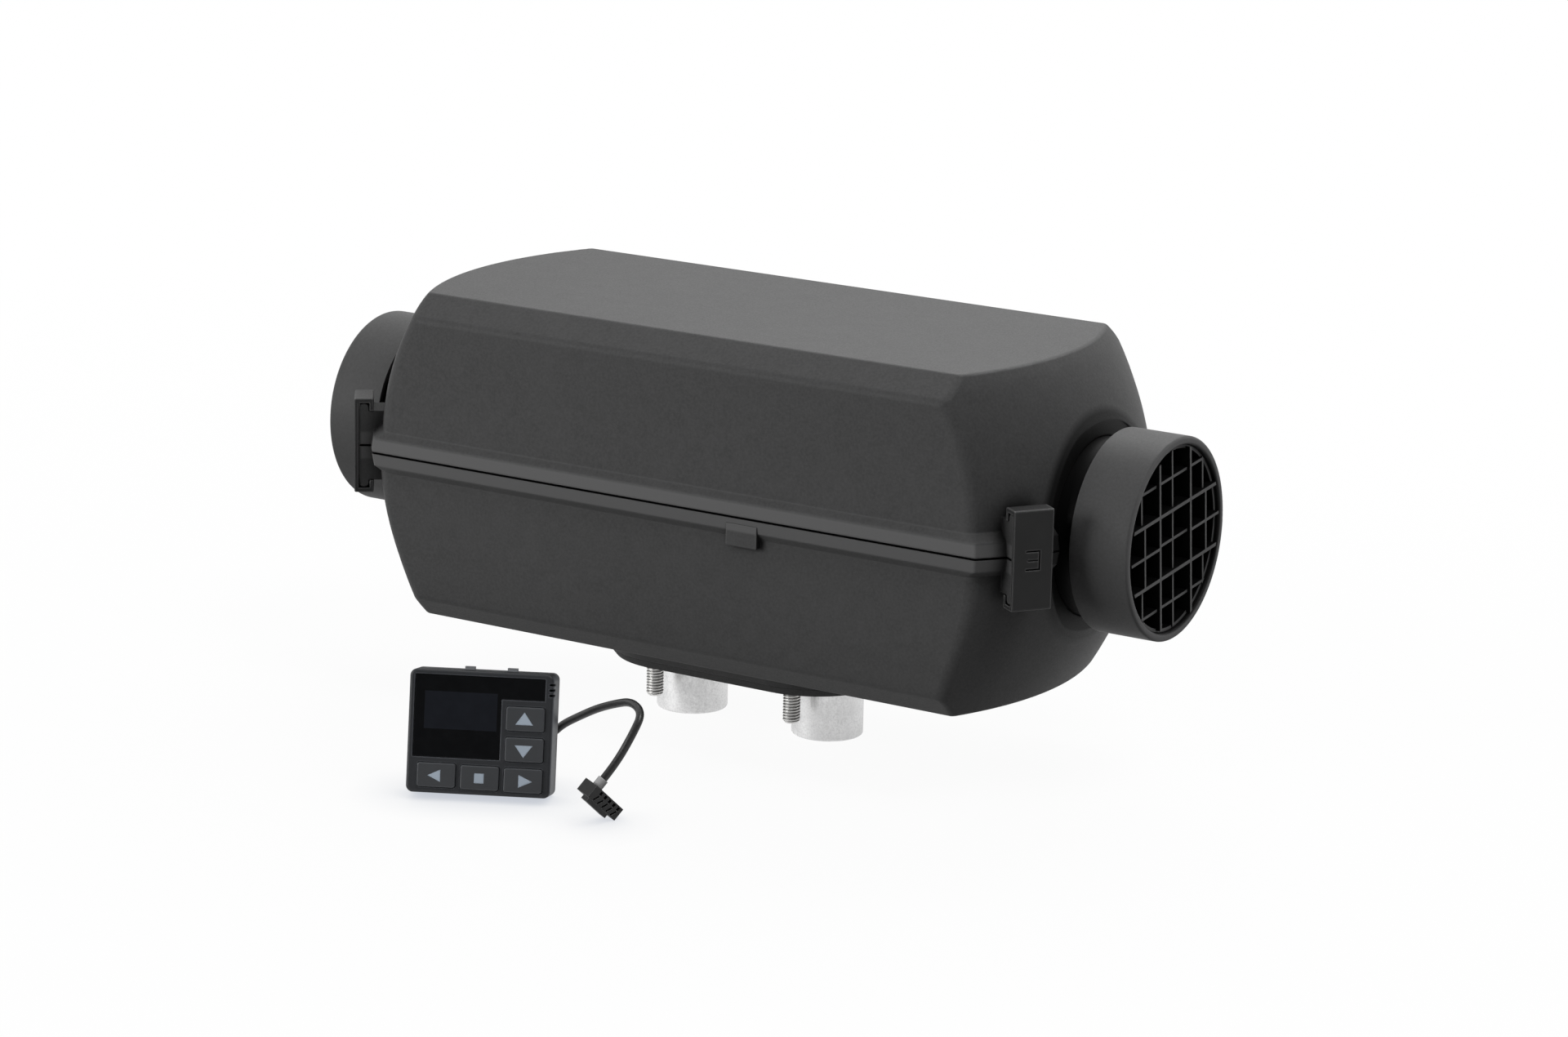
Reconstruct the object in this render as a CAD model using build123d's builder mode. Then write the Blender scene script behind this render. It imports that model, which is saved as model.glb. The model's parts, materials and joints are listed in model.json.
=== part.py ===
"""Diesel air heater with its control panel, as separate pieces, in millimetres.

The origin is the middle of the mounting face under the base gasket. +X runs to the
inlet end with the grille, +Y to the back and +Z up. The air duct's axis is parallel
to X, at axis_height.
"""

import os
from math import cos, pi, radians, sin, sqrt, tan

from build123d import *

os.makedirs("parts", exist_ok=True)

# ---------------------------------------------------------------- driving dimensions
overall_length = 310.0      # over the two collar rims
boss_height = 10.0          # casing's flat underside above the mounting face
bottom_drop = 56.4          # seam and duct axis above that underside
top_rise = 54.6             # flat top above the seam
running_gap = 0.05          # radial clearance of a shaft or screw in its hole
loose_gap = 0.3             # clearance between pieces that only meet
axis_height = boss_height + bottom_drop

# casing halves
wall = 2.5
seam_gap = 0.7
seam_half_width = 57.9
crown_setback = 18.2        # end wall's crown behind the collar's rim, at the seam
end_radius_seam = 82.0      # bow of the end wall in plan, at the seam
end_radius_flat = 109.0     # and at the flat top or bottom
seam_bow = end_radius_seam - sqrt(end_radius_seam**2 - seam_half_width**2)
seam_corner_x = overall_length / 2 - crown_setback - seam_bow
# plan sections: (share of the way from seam to flat, end's inset, side's inset)
upper_stations = (
    (0.136, 0.0, 0.0),
    (0.300, 0.5, 0.2),
    (0.500, 2.6, 0.3),
    (0.700, 6.5, 0.4),
    (0.866, 11.0, 0.5),
    (1.000, 16.2, 0.5),
)
lower_stations = (
    (0.120, -0.9, 0.2),
    (0.213, -0.7, 0.4),
    (0.408, 1.2, 0.7),
    (0.603, 4.6, 1.2),
    (0.762, 7.9, 1.9),
    (0.865, 10.1, 2.7),
    (1.000, 13.7, 3.5),
)
top_crease_height = 7.3     # long chamfer between the side and the flat top
top_crease_inset = 0.5
top_flat_inset = 10.1
bottom_crease_height = 7.6
bottom_crease_inset = 2.7
bottom_flat_inset = 10.7
corner_rounding = 5.0
flat_rounding = 1.8
crease_rounding = 3.0

# proud band round the seam
band_end_proud = 3.3
band_side_proud = 2.2
band_end_radius = 90.4
band_rise = 5.0
band_drop = 4.4
band_slope = 0.5
band_rounding = 1.2
cove_height = 2.4
cove_overlap = 0.6
tongue_thickness = 1.3
tongue_rise = 3.2
tongue_gap = 0.15
tongue_root = 0.5
snap_tab_x = 30.3
snap_tab_width = 11.6
snap_tab_drop = 9.7
snap_tab_inset = 0.1
snap_tab_rounding = 0.5

# blank cable grommet in the rear wall
grommet_x = 80.0
grommet_drop = 20.0
grommet_radius = 9.0
grommet_flange = 2.5
grommet_stand_off = 0.2
grommet_lip_gap = 1.1
grommet_inner_lip = 1.5
grommet_rounding = 1.2

# collars
collar_radius = 33.0
collar_wall = 2.8
collar_length = 20.5
collar_web = 2.2
collar_lip = 2.0
collar_lip_wall = 1.6
collar_rim_rounding = 1.0
neck_step = 4.0
neck_wall = 1.8
neck_gap = 0.3
neck_flange_reach = 3.8
neck_flange_thickness = 2.5
neck_flange_setback = 7.6
cup_margin = 1.8
cup_setback = 28.5          # pocket's floor behind the collar's rim
neck_radius = collar_radius - neck_step
cup_radius = collar_radius + cup_margin
cup_floor_x = overall_length / 2 - cup_setback
neck_end_x = cup_floor_x - neck_flange_setback - neck_flange_thickness

# grille
grille_pitch = 10.3
grille_turn = 5.5
main_bar = 1.15
minor_bar = 0.95
minor_recess = 1.1
bar_depth = 5.0
hoop_wall = 1.1
hoop_length = 4.0
hoop_setback = 1.6
hoop_gap = 0.1
grille_setback = 0.15

# side clips
clip_setback = 23.9         # clip's face behind the collar's rim
clip_side_inset = 7.9
clip_turn = 36.0
clip_length = 13.4
clip_height = 32.3
clip_depth = 6.4
clip_plate = 1.4
clip_lip = 1.3
clip_lip_reach = 3.85
clip_rim = 1.5
clip_rounding = 0.6
latch_width = 4.4
latch_height = 5.4
latch_slot = 0.45
latch_mark_depth = 0.35
rail_length = 12.6
rail_depth = 14.5
rail_neck_height = 11.9
rail_end_rounding = 1.4

# stubs, studs and fuel pipe
stub_radius = 12.0
stub_bore_radius = 10.0
stub_drop = 20.0
stub_rim_rounding = 0.6
exhaust_x = -25.9
intake_x = 27.9
stud_radius = 2.9
stud_spacing_x = 54.0
stud_spacing_y = 43.0
stud_drop = 11.5
stud_depth = 8.0
stud_tip_chamfer = 0.8
pipe_radius = 2.0
pipe_bore_radius = 1.2
pipe_nipple_radius = 2.5
pipe_x = 10.0
pipe_y = 19.0
pipe_drop = 16.0
pipe_bend_radius = 5.0
pipe_height = 31.0
seat_step = 0.4             # a stub's and a stud's seat is thinner than its outside
seat_relief = 0.4           # that seat ends this far below the mounting face

# mounting flange, gasket and base boss
gasket_thickness = 3.0
flange_top = 12.0
flange_end_margin = 5.1
flange_side_margin = 3.5
flange_rounding = 18.0
foot_end_margin = 5.0
foot_side_margin = 4.3
foot_rounding = 26.0
boss_flare = 8.0
boss_overlap = 0.5
flange_length = 2 * (intake_x + stub_radius + flange_end_margin)
flange_width = stud_spacing_y + 2 * flange_side_margin

# feet that stand on the flange, and their screws
foot_plate = 5.0
foot_corner = 8.0
foot_end_inset = 2.0
foot_side_inset = 4.0
foot_screw_end_inset = 5.0
foot_screw_side_inset = 4.0
foot_screw_radius = 2.0
foot_screw_depth = 4.0
foot_screw_head = 3.0
foot_screw_head_radius = 3.6
foot_end_x = flange_length / 2 - foot_end_inset
foot_width = flange_width - 2 * foot_side_inset
foot_screw_x = foot_end_x - foot_screw_end_inset
foot_screw_y = foot_width / 2 - foot_screw_side_inset

# combustion blower
blower_floor_gap = 8.9      # drum above the casing's floor
blower_radius = bottom_drop - wall - blower_floor_gap
blower_length = 22.0
blower_rim = 11.0
blower_back_wall = 2.5
blower_front_wall = 4.0
blower_inlet_radius = 12.0
blower_foot_length = 29.0
blower_block_width = 25.0
blower_block_height = 10.0
blower_block_corner = 4.0
air_well_depth = 8.0
air_riser_radius = 5.0
air_riser_setback = 1.0
blower_screw_inset = 6.0
blower_screw_radius = 2.0
blower_screw_head = 3.0
blower_screw_head_radius = 3.8
blower_gasket_thickness = 1.5
blower_bore_radius = blower_radius - blower_rim
blower_screw_circle = blower_radius - blower_screw_inset

# heat exchanger and burner
exchanger_end_x = 20.0
exchanger_end_gap = 8.4     # closed end to the collar's flange inside the casing
exchanger_start_x = -(neck_end_x - exchanger_end_gap)
exchanger_wall = 3.5
exchanger_wall_end = 4.0
exchanger_end_rounding = 8.0
joint_flange_inset = 2.0
joint_flange_thickness = 4.0
joint_flange_ledge = 10.0
joint_flange_radius = blower_radius - joint_flange_inset
exchanger_radius = joint_flange_radius - joint_flange_ledge
exchanger_bore_radius = exchanger_radius - exchanger_wall
fin_height = 10.0
fin_thickness = 1.8
fin_root = 1.0
fin_step = 15.0
fins_per_side = 10
fin_start_setback = 4.0
fin_end_setback = 16.0
fin_radius = exchanger_radius + fin_height
exchanger_foot_length = 45.0
exchanger_duct_width = 26.0
exchanger_duct_rounding = 6.0
burner_gap = 6.5
burner_wall = 1.2
burner_start_x = -55.0
burner_plate = 2.5
burner_hole_radius = 2.0
burner_hole_rows = (-40.0, -28.0, -16.0)
burner_holes_per_row = 10
burner_radius = exchanger_bore_radius - burner_gap

# glow plug and sensors on the exchanger
plug_x = 8.0
plug_radius = 4.5
plug_boss_radius = 7.0
plug_boss_rise = 3.0
plug_thread = 12.0
plug_tip = 12.0
plug_tip_radius = 2.25
plug_hexagon = 5.0
plug_hexagon_radius = 5.8
plug_terminal = 5.0
plug_terminal_radius = 1.5
flame_sensor_setback = 20.0
flame_sensor_radius = 2.5
flame_sensor_reach = 2.0
flame_sensor_head = 3.5
flame_sensor_head_radius = 4.5
overheat_pad_x = -50.0
overheat_pad_length = 20.0
overheat_pad_width = 15.0
overheat_pad_corner = 2.0
overheat_body_length = 15.0
overheat_body_width = 9.0
overheat_body_height = 3.0
overheat_strap_width = 4.0
overheat_strap_length = 14.0
overheat_strap_height = 4.0
overheat_rounding = 0.8
flame_sensor_x = exchanger_start_x + flame_sensor_setback

# hot air fan on the motor's shaft
fan_length = 18.0
fan_neck_gap = 6.4          # fan to the inlet collar's flange
fan_hub_radius = 16.0
fan_nose = 5.0
fan_radius = 38.0
fan_blades = 9
fan_root_chord = 17.0
fan_tip_chord = 19.0
fan_root_angle = 48.0
fan_tip_angle = 24.0
fan_blade_root = 1.5
fan_blade_bow = 2.4
fan_blade_thickness = 1.6
nut_radius = 5.5
nut_length = 4.0
shaft_end_proud = 1.0
fan_start_x = neck_end_x - fan_neck_gap - fan_length

# motor, shaft and impeller
blower_start_x = exchanger_end_x + burner_plate + blower_gasket_thickness
blower_end_x = blower_start_x + blower_length
motor_radius = 18.0
motor_fan_gap = 5.0
motor_nose = 3.0
motor_nose_radius = 8.0
motor_flange_radius = 24.0
motor_flange_thickness = 3.0
motor_end_rounding = 2.5
motor_length = fan_start_x - motor_fan_gap - motor_nose - blower_end_x
shaft_radius = 3.0
shaft_start_gap = 1.5
shaft_chamfer = 0.5
impeller_rim_gap = 4.0
impeller_blades = 14
impeller_blade_height = 8.5
impeller_blade_thickness = 1.2
impeller_blade_inner = 14.0
impeller_blade_lean = 28.0
impeller_blade_tip_gap = 2.0
impeller_disc = 2.0
impeller_disc_gap = 2.0
impeller_hub_radius = 7.2
impeller_hub_setback = 1.5
impeller_radius = blower_bore_radius - impeller_rim_gap

# control unit on the motor
unit_setback = 6.0          # unit behind the blower's face
unit_fan_gap = 6.0
unit_motor_gap = 4.0
unit_top_gap = 6.1
unit_width = 68.0
unit_corner = 4.0
unit_rounding = 2.0
unit_rib_height = 1.5
unit_rib_width = 2.0
unit_rib_pitch = 8.0
unit_ribs = 7
unit_rib_inset = 4.0
unit_saddle_width = 20.0
unit_saddle_inset = 5.0
unit_saddle_wrap = 4.0
unit_ear_rise = 10.0
unit_ear_height = 12.0
unit_ear_margin = 5.0
unit_ear_thickness = 3.0
unit_ear_head_gap = 1.8
unit_screw_radius = 1.6
unit_screw_head_radius = 3.2
unit_screw_rise = 11.0
unit_start_x = blower_end_x + unit_setback
unit_length = fan_start_x - unit_fan_gap - unit_start_x
unit_rise = motor_radius + unit_motor_gap
unit_height = top_rise - wall - unit_top_gap - unit_rise
unit_screw_y = (
    blower_screw_circle * cos(radians(45))
    - blower_screw_head_radius
    - unit_ear_head_gap
    - unit_ear_margin
)

# control panel, leaning back on its lower rear edge
panel_width = 46.2
panel_height = 39.2
panel_depth = 12.0
panel_x = -21.5
panel_y = -131.3
panel_turn = 26.1
panel_lean = 12.8
panel_rounding = 2.2
panel_edge = 0.9
bezel_depth = 8.2
bezel_front = 1.8
bezel_wall = 1.0
back_wall = 1.6
back_floor = 1.5
back_gap = 0.1              # rear shell behind the front shell

# keys: a column of three at the right and a row of three along the bottom
key_left_margin = 3.55
key_right_margin = 2.55
key_side_gap = 1.6
key_bottom_margin = 1.45
key_top_margin = 2.15
key_gap = 2.05
button_gap = 0.15
button_rounding = 0.8
button_edge = 0.35
button_proud = 0.7
button_rim = 0.2
button_rim_height = 0.1
button_rim_thickness = 0.8
button_travel = 0.5
plunger_radius = 1.4
plunger_length = 1.5

# window and display
window_left_margin = 1.8
window_right_margin = 2.8
window_top_margin = 1.6
window_strip = 6.8
window_key_gap = 1.75
window_low_gap = 2.35
window_recess = 0.15
window_gap = 0.1
window_rim = 0.8
window_rim_thickness = 0.7
window_shell_gap = 0.15
display_left_margin = 3.2
display_right_margin = 1.2
display_bottom_margin = 8.9
display_top_margin = 5.1
display_frame = 1.5
display_frame_low = 1.2
display_gap = 0.1
button_width = (panel_width - key_left_margin - key_right_margin - 2 * key_side_gap) / 3
window_left = window_left_margin - panel_width / 2
window_right = panel_width / 2 - window_right_margin
window_top = panel_height - window_top_margin
window_step = window_top - window_strip
button_height = (window_step - key_bottom_margin - key_top_margin - 2 * key_gap) / 3
window_bottom = key_bottom_margin + button_height + window_low_gap
key_left_x = key_left_margin + (button_width - panel_width) / 2
key_right_x = (panel_width - button_width) / 2 - key_right_margin
key_low_y = key_bottom_margin + button_height / 2
window_split = key_right_x - button_width / 2 - window_key_gap
display_left = window_left + display_left_margin
display_right = window_split - display_right_margin
display_bottom = window_bottom + display_bottom_margin
display_top = window_top - display_top_margin
button_places = {
    "up_button": (key_right_x, key_low_y + 2 * (button_height + key_gap)),
    "down_button": (key_right_x, key_low_y + button_height + key_gap),
    "right_button": (key_right_x, key_low_y),
    "left_button": (key_left_x, key_low_y + 0.5),
    "stop_button": ((key_left_x + key_right_x) / 2, key_low_y + 0.2),
}

# board in the panel, vents and snap tabs
board_setback = 1.8         # board's front ahead of the front shell's rear edge
board_thickness = 1.2
board_corner = 1.0
board_front = bezel_depth - board_setback
board_screw_radius = 0.9
board_screw_length = 3.4
board_screw_head = 0.8
board_screw_head_radius = 1.7
board_screw_side_inset = 3.7
board_screw_end_inset = 3.4
board_post_radius = 2.2
board_post_root = 0.5
board_post_bore = 2.6
switch_size = 4.0
switch_share = 0.55
switch_tip_radius = 1.1
switch_tip_gap = 0.1
vent_count = 3
vent_top_margin = 3.2
vent_pitch = 1.7
vent_slot = 0.75
vent_inset = 1.5
vent_depth = 3.2
pry_slot_x = -4.5
pry_slot_width = 3.0
pry_slot_height = 1.2
pry_slot_rise = 0.2
pry_slot_depth = 4.0
snap_width = 3.2
snap_height = 1.4
snap_length = 2.0
snap_setback = 0.8
snap_rise = 0.2
snap_places_x = (-5.4, 8.3)

# control cable
cable_radius = 1.3
cable_exit = (15.5, 18.0)
cable_hole_gap = 0.15
cable_hole_depth = 3.0
relief_length = 4.0
relief_radius = 2.4
relief_tip_wall = 0.5

# Route of the cable's axis, from the strain relief on the panel's back up over its
# arch and down to the connector. The first point is set from the panel.
cable_points = [
    (-15.4, -98.2, -3.9),
    (-12.1, -97.6, -0.5),
    (-5.2, -99.0, 3.6),
    (3.4, -101.5, 8.4),
    (12.2, -104.5, 12.3),
    (21.2, -108.0, 15.6),
    (27.9, -112.0, 14.0),
    (27.8, -116.5, 8.8),
]
cable_first_run = 4.6
cable_last_run = 6.5
cable_arc_share = 0.45

# connector: it stands on a lower corner, with its long axis down to the floor
connector_x = 23.7
connector_y = -120.7
connector_rise = 0.05
connector_along = Vector(0.1292, 0.7372, -0.6633)
connector_upward = Vector(0.348, 0.5932, 0.727)
connector_length = 15.9
connector_width = 4.5
connector_thickness = 6.0
connector_ways = 5
connector_pitch = 2.54
connector_row_shift = 0.9
connector_window_width = 1.3
connector_window_height = 1.2
connector_window_depth = 1.2
connector_window_rise = 1.2
contact_slot_width = 0.8
contact_slot_height = 2.4
contact_slot_depth = 0.8
contact_slot_lean = 30.0
contact_slot_shift = 0.3
contact_slot_drop = 0.9
sleeve_length = 3.0
sleeve_radius = 1.75
sleeve_place = -5.2
sleeve_depth = 2.4
latch_bar_length = 11.2
latch_bar_height = 1.5
latch_bar_thickness = 2.8
latch_bar_proud = 0.6


# ------------------------------------------------------------------------- planes
duct_plane = Plane(origin=(0, 0, axis_height), x_dir=(1, 0, 0), z_dir=(0, -1, 0))
duct_axis = Axis((0, 0, axis_height), (1, 0, 0))
floor_height = -stub_drop
radial_up = 90.0            # angle of +Z on a plane across the duct


def cross_plane(x):
    """Plane across the duct at x: its own x is +Y, its own y is +Z, its normal +X."""
    return Plane(origin=(x, 0, axis_height), x_dir=(0, 1, 0), z_dir=(1, 0, 0))


def level(height):
    """Horizontal plane at a height above the mounting face."""
    return Plane.XY.offset(height)


def write(piece, name):
    """Label a finished piece and write its STEP file."""
    piece.part.label = name
    export_step(piece.part, f"parts/{name}.step")


# ------------------------------------------------------------------------- casing
def plan_outline(height, corner_x, half_width, end_radius, rounding):
    """Casing outline in plan: straight sides, bowed ends and rounded corners."""
    bow = end_radius - sqrt(end_radius**2 - half_width**2)
    end_x = corner_x + bow
    with BuildSketch(level(height)) as plan:
        with BuildLine():
            Line((-corner_x, -half_width), (corner_x, -half_width))
            ThreePointArc((corner_x, -half_width), (end_x, 0), (corner_x, half_width))
            Line((corner_x, half_width), (-corner_x, half_width))
            ThreePointArc((-corner_x, half_width), (-end_x, 0), (-corner_x, -half_width))
        make_face()
        fillet(plan.vertices(), radius=rounding)
    return plan.sketch


def end_radius(share):
    """Bow of the end wall at a share of the way from the seam to the flat."""
    return end_radius_seam + (end_radius_flat - end_radius_seam) * share


def casing_station(side, station, reach, inset):
    """One plan section of a half, inset by a wall: (share of reach, insets)."""
    share, end_inset, side_inset = station
    return plan_outline(
        axis_height + side * share * reach,
        seam_corner_x - end_inset - inset,
        seam_half_width - side_inset - inset,
        end_radius(share) - inset,
        corner_rounding - inset / 2,
    )


def long_chamfer(side, reach, inset):
    """Triangles outside both long chamfers, on the plane across the casing."""
    if side > 0:
        height, crease_inset, flat_inset = top_crease_height, top_crease_inset, top_flat_inset
    else:
        height, crease_inset = bottom_crease_height, bottom_crease_inset
        flat_inset = bottom_flat_inset
    slope = (flat_inset - crease_inset) / height
    low = reach - height - inset
    high = reach - inset + wall
    foot = seam_half_width - crease_inset - inset * (sqrt(1 + slope**2) - slope)
    head = foot - slope * (high - low)
    outside = seam_half_width + 2 * wall
    with BuildSketch(cross_plane(-overall_length / 2)) as corner:
        for edge in (-1, 1):
            with BuildLine():
                Polyline(
                    (edge * foot, side * low),
                    (edge * head, side * high),
                    (edge * outside, side * high),
                    (edge * outside, side * low),
                    close=True,
                )
            make_face()
    return corner.sketch


def casing_mass(side, inset):
    """Solid form of one casing half, or of its cavity when it is inset."""
    if side > 0:
        stations, reach, crease_height = upper_stations, top_rise, top_crease_height
    else:
        stations, reach, crease_height = lower_stations, bottom_drop, bottom_crease_height
    start = 0.0 if inset else seam_gap / 2
    sections = [(start / reach, *stations[0][1:]), *stations]
    if inset:
        sections[-1] = (1 - inset / reach, *stations[-1][1:])
    with BuildPart() as mass:
        loft([casing_station(side, section, reach, inset) for section in sections])
        extrude(
            long_chamfer(side, reach, inset),
            amount=overall_length,
            mode=Mode.SUBTRACT,
        )
        if not inset:
            crease = axis_height + side * (reach - crease_height)
            near = (crease - crease_rounding / 4, crease + crease_rounding / 4)
            creases = mass.edges().filter_by_position(Axis.Z, *near)
            fillet(creases.sort_by(SortBy.LENGTH)[-2:], radius=crease_rounding)
            flat = mass.edges().group_by(Axis.Z)[-1 if side > 0 else 0]
            fillet(flat, radius=flat_rounding)
    return mass.part


def casing_band(side):
    """Proud band of one half, with its slope and the cove up to the wall."""
    height = band_rise if side > 0 else band_drop
    foot = height + cove_height
    corner_x = seam_corner_x + band_end_proud
    half_width = seam_half_width + band_side_proud
    with BuildPart() as band:
        loft(
            [
                plan_outline(
                    axis_height + side * seam_gap / 2,
                    corner_x,
                    half_width,
                    band_end_radius,
                    band_rounding,
                ),
                plan_outline(
                    axis_height + side * height,
                    corner_x - band_slope,
                    half_width - band_slope,
                    band_end_radius,
                    band_rounding,
                ),
                plan_outline(
                    axis_height + side * (foot + cove_overlap),
                    seam_corner_x - cove_overlap,
                    seam_half_width - cove_overlap,
                    end_radius_seam - cove_overlap,
                    corner_rounding,
                ),
            ],
            ruled=True,
        )
    return band.part


def clip_plane(end, front):
    """Plane through a clip's face, its own x outward and its own y up."""
    outward = Vector(end * cos(radians(clip_turn)), front * sin(radians(clip_turn)), 0)
    return Plane(
        origin=(
            end * (overall_length / 2 - clip_setback),
            front * (seam_half_width - clip_side_inset),
            axis_height,
        ),
        x_dir=outward,
        z_dir=outward.cross(Vector(0, 0, 1)),
    )


def clip_rail(end, front, side):
    """Half of the dog-bone rail that a clip slides over: bulb and neck."""
    face = -(clip_plate + loose_gap)
    back = -(clip_depth - clip_lip - loose_gap)
    bulb_top = clip_height / 2 - clip_rim - loose_gap
    with BuildPart() as rail:
        with BuildSketch(clip_plane(end, front)) as bulb:
            with BuildLine():
                Polyline(
                    (face, side * seam_gap / 2),
                    (face, side * bulb_top),
                    (back, side * bulb_top),
                    (back, side * rail_neck_height),
                    (-rail_depth, side * rail_neck_height),
                    (-rail_depth, side * seam_gap / 2),
                    close=True,
                )
            make_face()
            fillet(
                bulb.vertices().group_by(Axis.Y)[-1 if side > 0 else 0],
                radius=rail_end_rounding,
            )
        extrude(amount=rail_length / 2, both=True)
    return rail.part


def snap_tab(front):
    """Tab of the snap hook that hangs from the lower band."""
    top = axis_height - band_drop / 2
    bottom = axis_height - snap_tab_drop
    outside = seam_half_width + band_side_proud - snap_tab_inset
    depth = outside - seam_half_width + bottom_crease_inset
    with BuildPart() as tab:
        with BuildSketch(level(bottom)):
            with Locations((snap_tab_x, front * (outside - depth / 2))):
                Rectangle(snap_tab_width, depth)
        extrude(amount=top - bottom)
        fillet(tab.edges().group_by(Axis.Z)[0], radius=snap_tab_rounding)
    return tab.part


def end_cups():
    """Round pocket in each end wall that the collar stands in."""
    with BuildPart() as cups:
        for end in (-1, 1):
            with BuildSketch(cross_plane(end * cup_floor_x)):
                Circle(cup_radius)
            extrude(amount=end * overall_length / 8)
            with BuildSketch(cross_plane(end * (cup_floor_x - 4 * wall))):
                Circle(neck_radius + neck_gap)
            extrude(amount=end * 5 * wall)
    return cups.part


def cup_blocks():
    """Material left round each pocket, between it and the cavity."""
    with BuildPart() as blocks:
        for end in (-1, 1):
            with BuildSketch(cross_plane(end * (cup_floor_x - wall))):
                Circle(cup_radius + wall)
            extrude(amount=end * overall_length / 8)
    return blocks.part


def build_casing(side):
    """Upper half for side 1, lower half for side -1, before its own features."""
    with BuildPart() as cavity:
        add(casing_mass(side, wall))
        add(cup_blocks(), mode=Mode.SUBTRACT)
    with BuildPart() as half:
        add(casing_mass(side, 0.0))
        add(casing_band(side))
        for end in (-1, 1):
            for front in (-1, 1):
                add(clip_rail(end, front, side))
        if side < 0:
            for front in (-1, 1):
                add(snap_tab(front))
        add(cavity.part, mode=Mode.SUBTRACT)
        add(end_cups(), mode=Mode.SUBTRACT)
    return half


def build_upper_casing():
    upper_casing = build_casing(1)
    write(upper_casing, "upper_casing")


def tongue_outlines(inset, low, high):
    """Plan of the seam tongue at two heights, inset from the wall's outside."""
    return [
        plan_outline(
            axis_height + height,
            seam_corner_x - inset,
            seam_half_width - inset,
            end_radius(height / top_rise) - inset,
            corner_rounding - inset / 2,
        )
        for height in (low, high)
    ]


def build_lower_casing():
    """Lower half with the base boss, the flange opening, the seam tongue and a hole."""
    lower = build_casing(-1)
    with BuildPart() as tongue:
        loft(tongue_outlines(wall - tongue_root, -tongue_rise, -seam_gap / 2))
        loft(tongue_outlines(wall + tongue_gap, -seam_gap / 2 - tongue_gap, tongue_rise))
        loft(
            tongue_outlines(wall + tongue_gap + tongue_thickness, -2 * tongue_rise, 2 * tongue_rise),
            mode=Mode.SUBTRACT,
        )
        for end in (-1, 1):
            with BuildSketch(cross_plane(end * (cup_floor_x - 3 * wall))):
                Circle(cup_radius + wall + loose_gap)
            extrude(amount=end * overall_length / 8, mode=Mode.SUBTRACT)
    with BuildPart() as lower_casing:
        add(lower.part)
        loft(
            [
                boss_outline(gasket_thickness),
                boss_outline(boss_height + boss_overlap),
            ]
        )
        with BuildSketch(level(gasket_thickness)):
            RectangleRounded(
                flange_length + 2 * loose_gap,
                flange_width + 2 * loose_gap,
                flange_rounding + loose_gap,
            )
        extrude(amount=boss_height + 2 * wall, mode=Mode.SUBTRACT)
        with BuildSketch(grommet_plane()):
            Circle(grommet_radius)
        extrude(amount=2 * wall, both=True, mode=Mode.SUBTRACT)
        add(tongue.part)
    write(lower_casing, "lower_casing")


def boss_outline(height):
    """Base boss in plan at a height: it widens from the gasket up to the casing."""
    flare = boss_flare * height / boss_height
    with BuildSketch(level(height)) as plan:
        RectangleRounded(
            flange_length + 2 * (foot_end_margin + flare),
            flange_width + 2 * (foot_side_margin + flare),
            foot_rounding + flare,
        )
    return plan.sketch


# ----------------------------------------------------------------- cable grommet
def grommet_plane():
    """Plane on the rear wall where the loom's blank grommet sits, its normal +Y."""
    return Plane(
        origin=(
            grommet_x,
            seam_half_width - lower_stations[1][2],
            axis_height - grommet_drop,
        ),
        x_dir=(1, 0, 0),
        z_dir=(0, 1, 0),
    )


def build_cable_grommet():
    """Rubber grommet: outer lip with a blind dish, groove over the wall, inner lip."""
    groove = wall + grommet_lip_gap
    with BuildPart() as cable_grommet:
        with BuildSketch(grommet_plane().offset(grommet_stand_off)):
            Circle(grommet_radius + grommet_flange)
        extrude(amount=grommet_flange)
        fillet(cable_grommet.edges().group_by(Axis.Y)[-1], radius=grommet_rounding)
        with BuildSketch(grommet_plane().offset(grommet_stand_off)):
            Circle(grommet_radius - loose_gap)
        extrude(amount=-groove)
        with BuildSketch(grommet_plane().offset(grommet_stand_off - groove)):
            Circle(grommet_radius + grommet_inner_lip)
        extrude(amount=-grommet_flange)
        with BuildSketch(grommet_plane().offset(grommet_stand_off + grommet_flange)):
            Circle(grommet_radius - grommet_flange)
        extrude(amount=-grommet_flange - groove / 2, mode=Mode.SUBTRACT)
    write(cable_grommet, "cable_grommet")


# ------------------------------------------------------------------------ collars
def build_collar(end, name):
    """Ring with a free rear lip, a web to the neck, and the flange behind the wall."""
    rim = end * overall_length / 2
    lip = end * (overall_length / 2 - collar_length)
    web_back = lip + end * collar_lip
    web_front = web_back + end * collar_web
    flange_back = end * neck_end_x
    flange_front = flange_back + end * neck_flange_thickness
    bore = collar_radius - collar_wall
    with BuildPart() as collar:
        with BuildSketch(duct_plane) as profile:
            with BuildLine():
                Polyline(
                    (rim, bore),
                    (rim, collar_radius),
                    (lip, collar_radius),
                    (lip, collar_radius - collar_lip_wall),
                    (web_back, collar_radius - collar_lip_wall),
                    (web_back, neck_radius),
                    (flange_front, neck_radius),
                    (flange_front, neck_radius + neck_flange_reach),
                    (flange_back, neck_radius + neck_flange_reach),
                    (flange_back, neck_radius - neck_wall),
                    (web_front, neck_radius - neck_wall),
                    (web_front, bore),
                    close=True,
                )
            make_face()
            fillet(
                profile.vertices().group_by(Axis.X)[-1 if end > 0 else 0],
                radius=collar_rim_rounding,
            )
        revolve(axis=duct_axis)
    write(collar, name)


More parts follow.
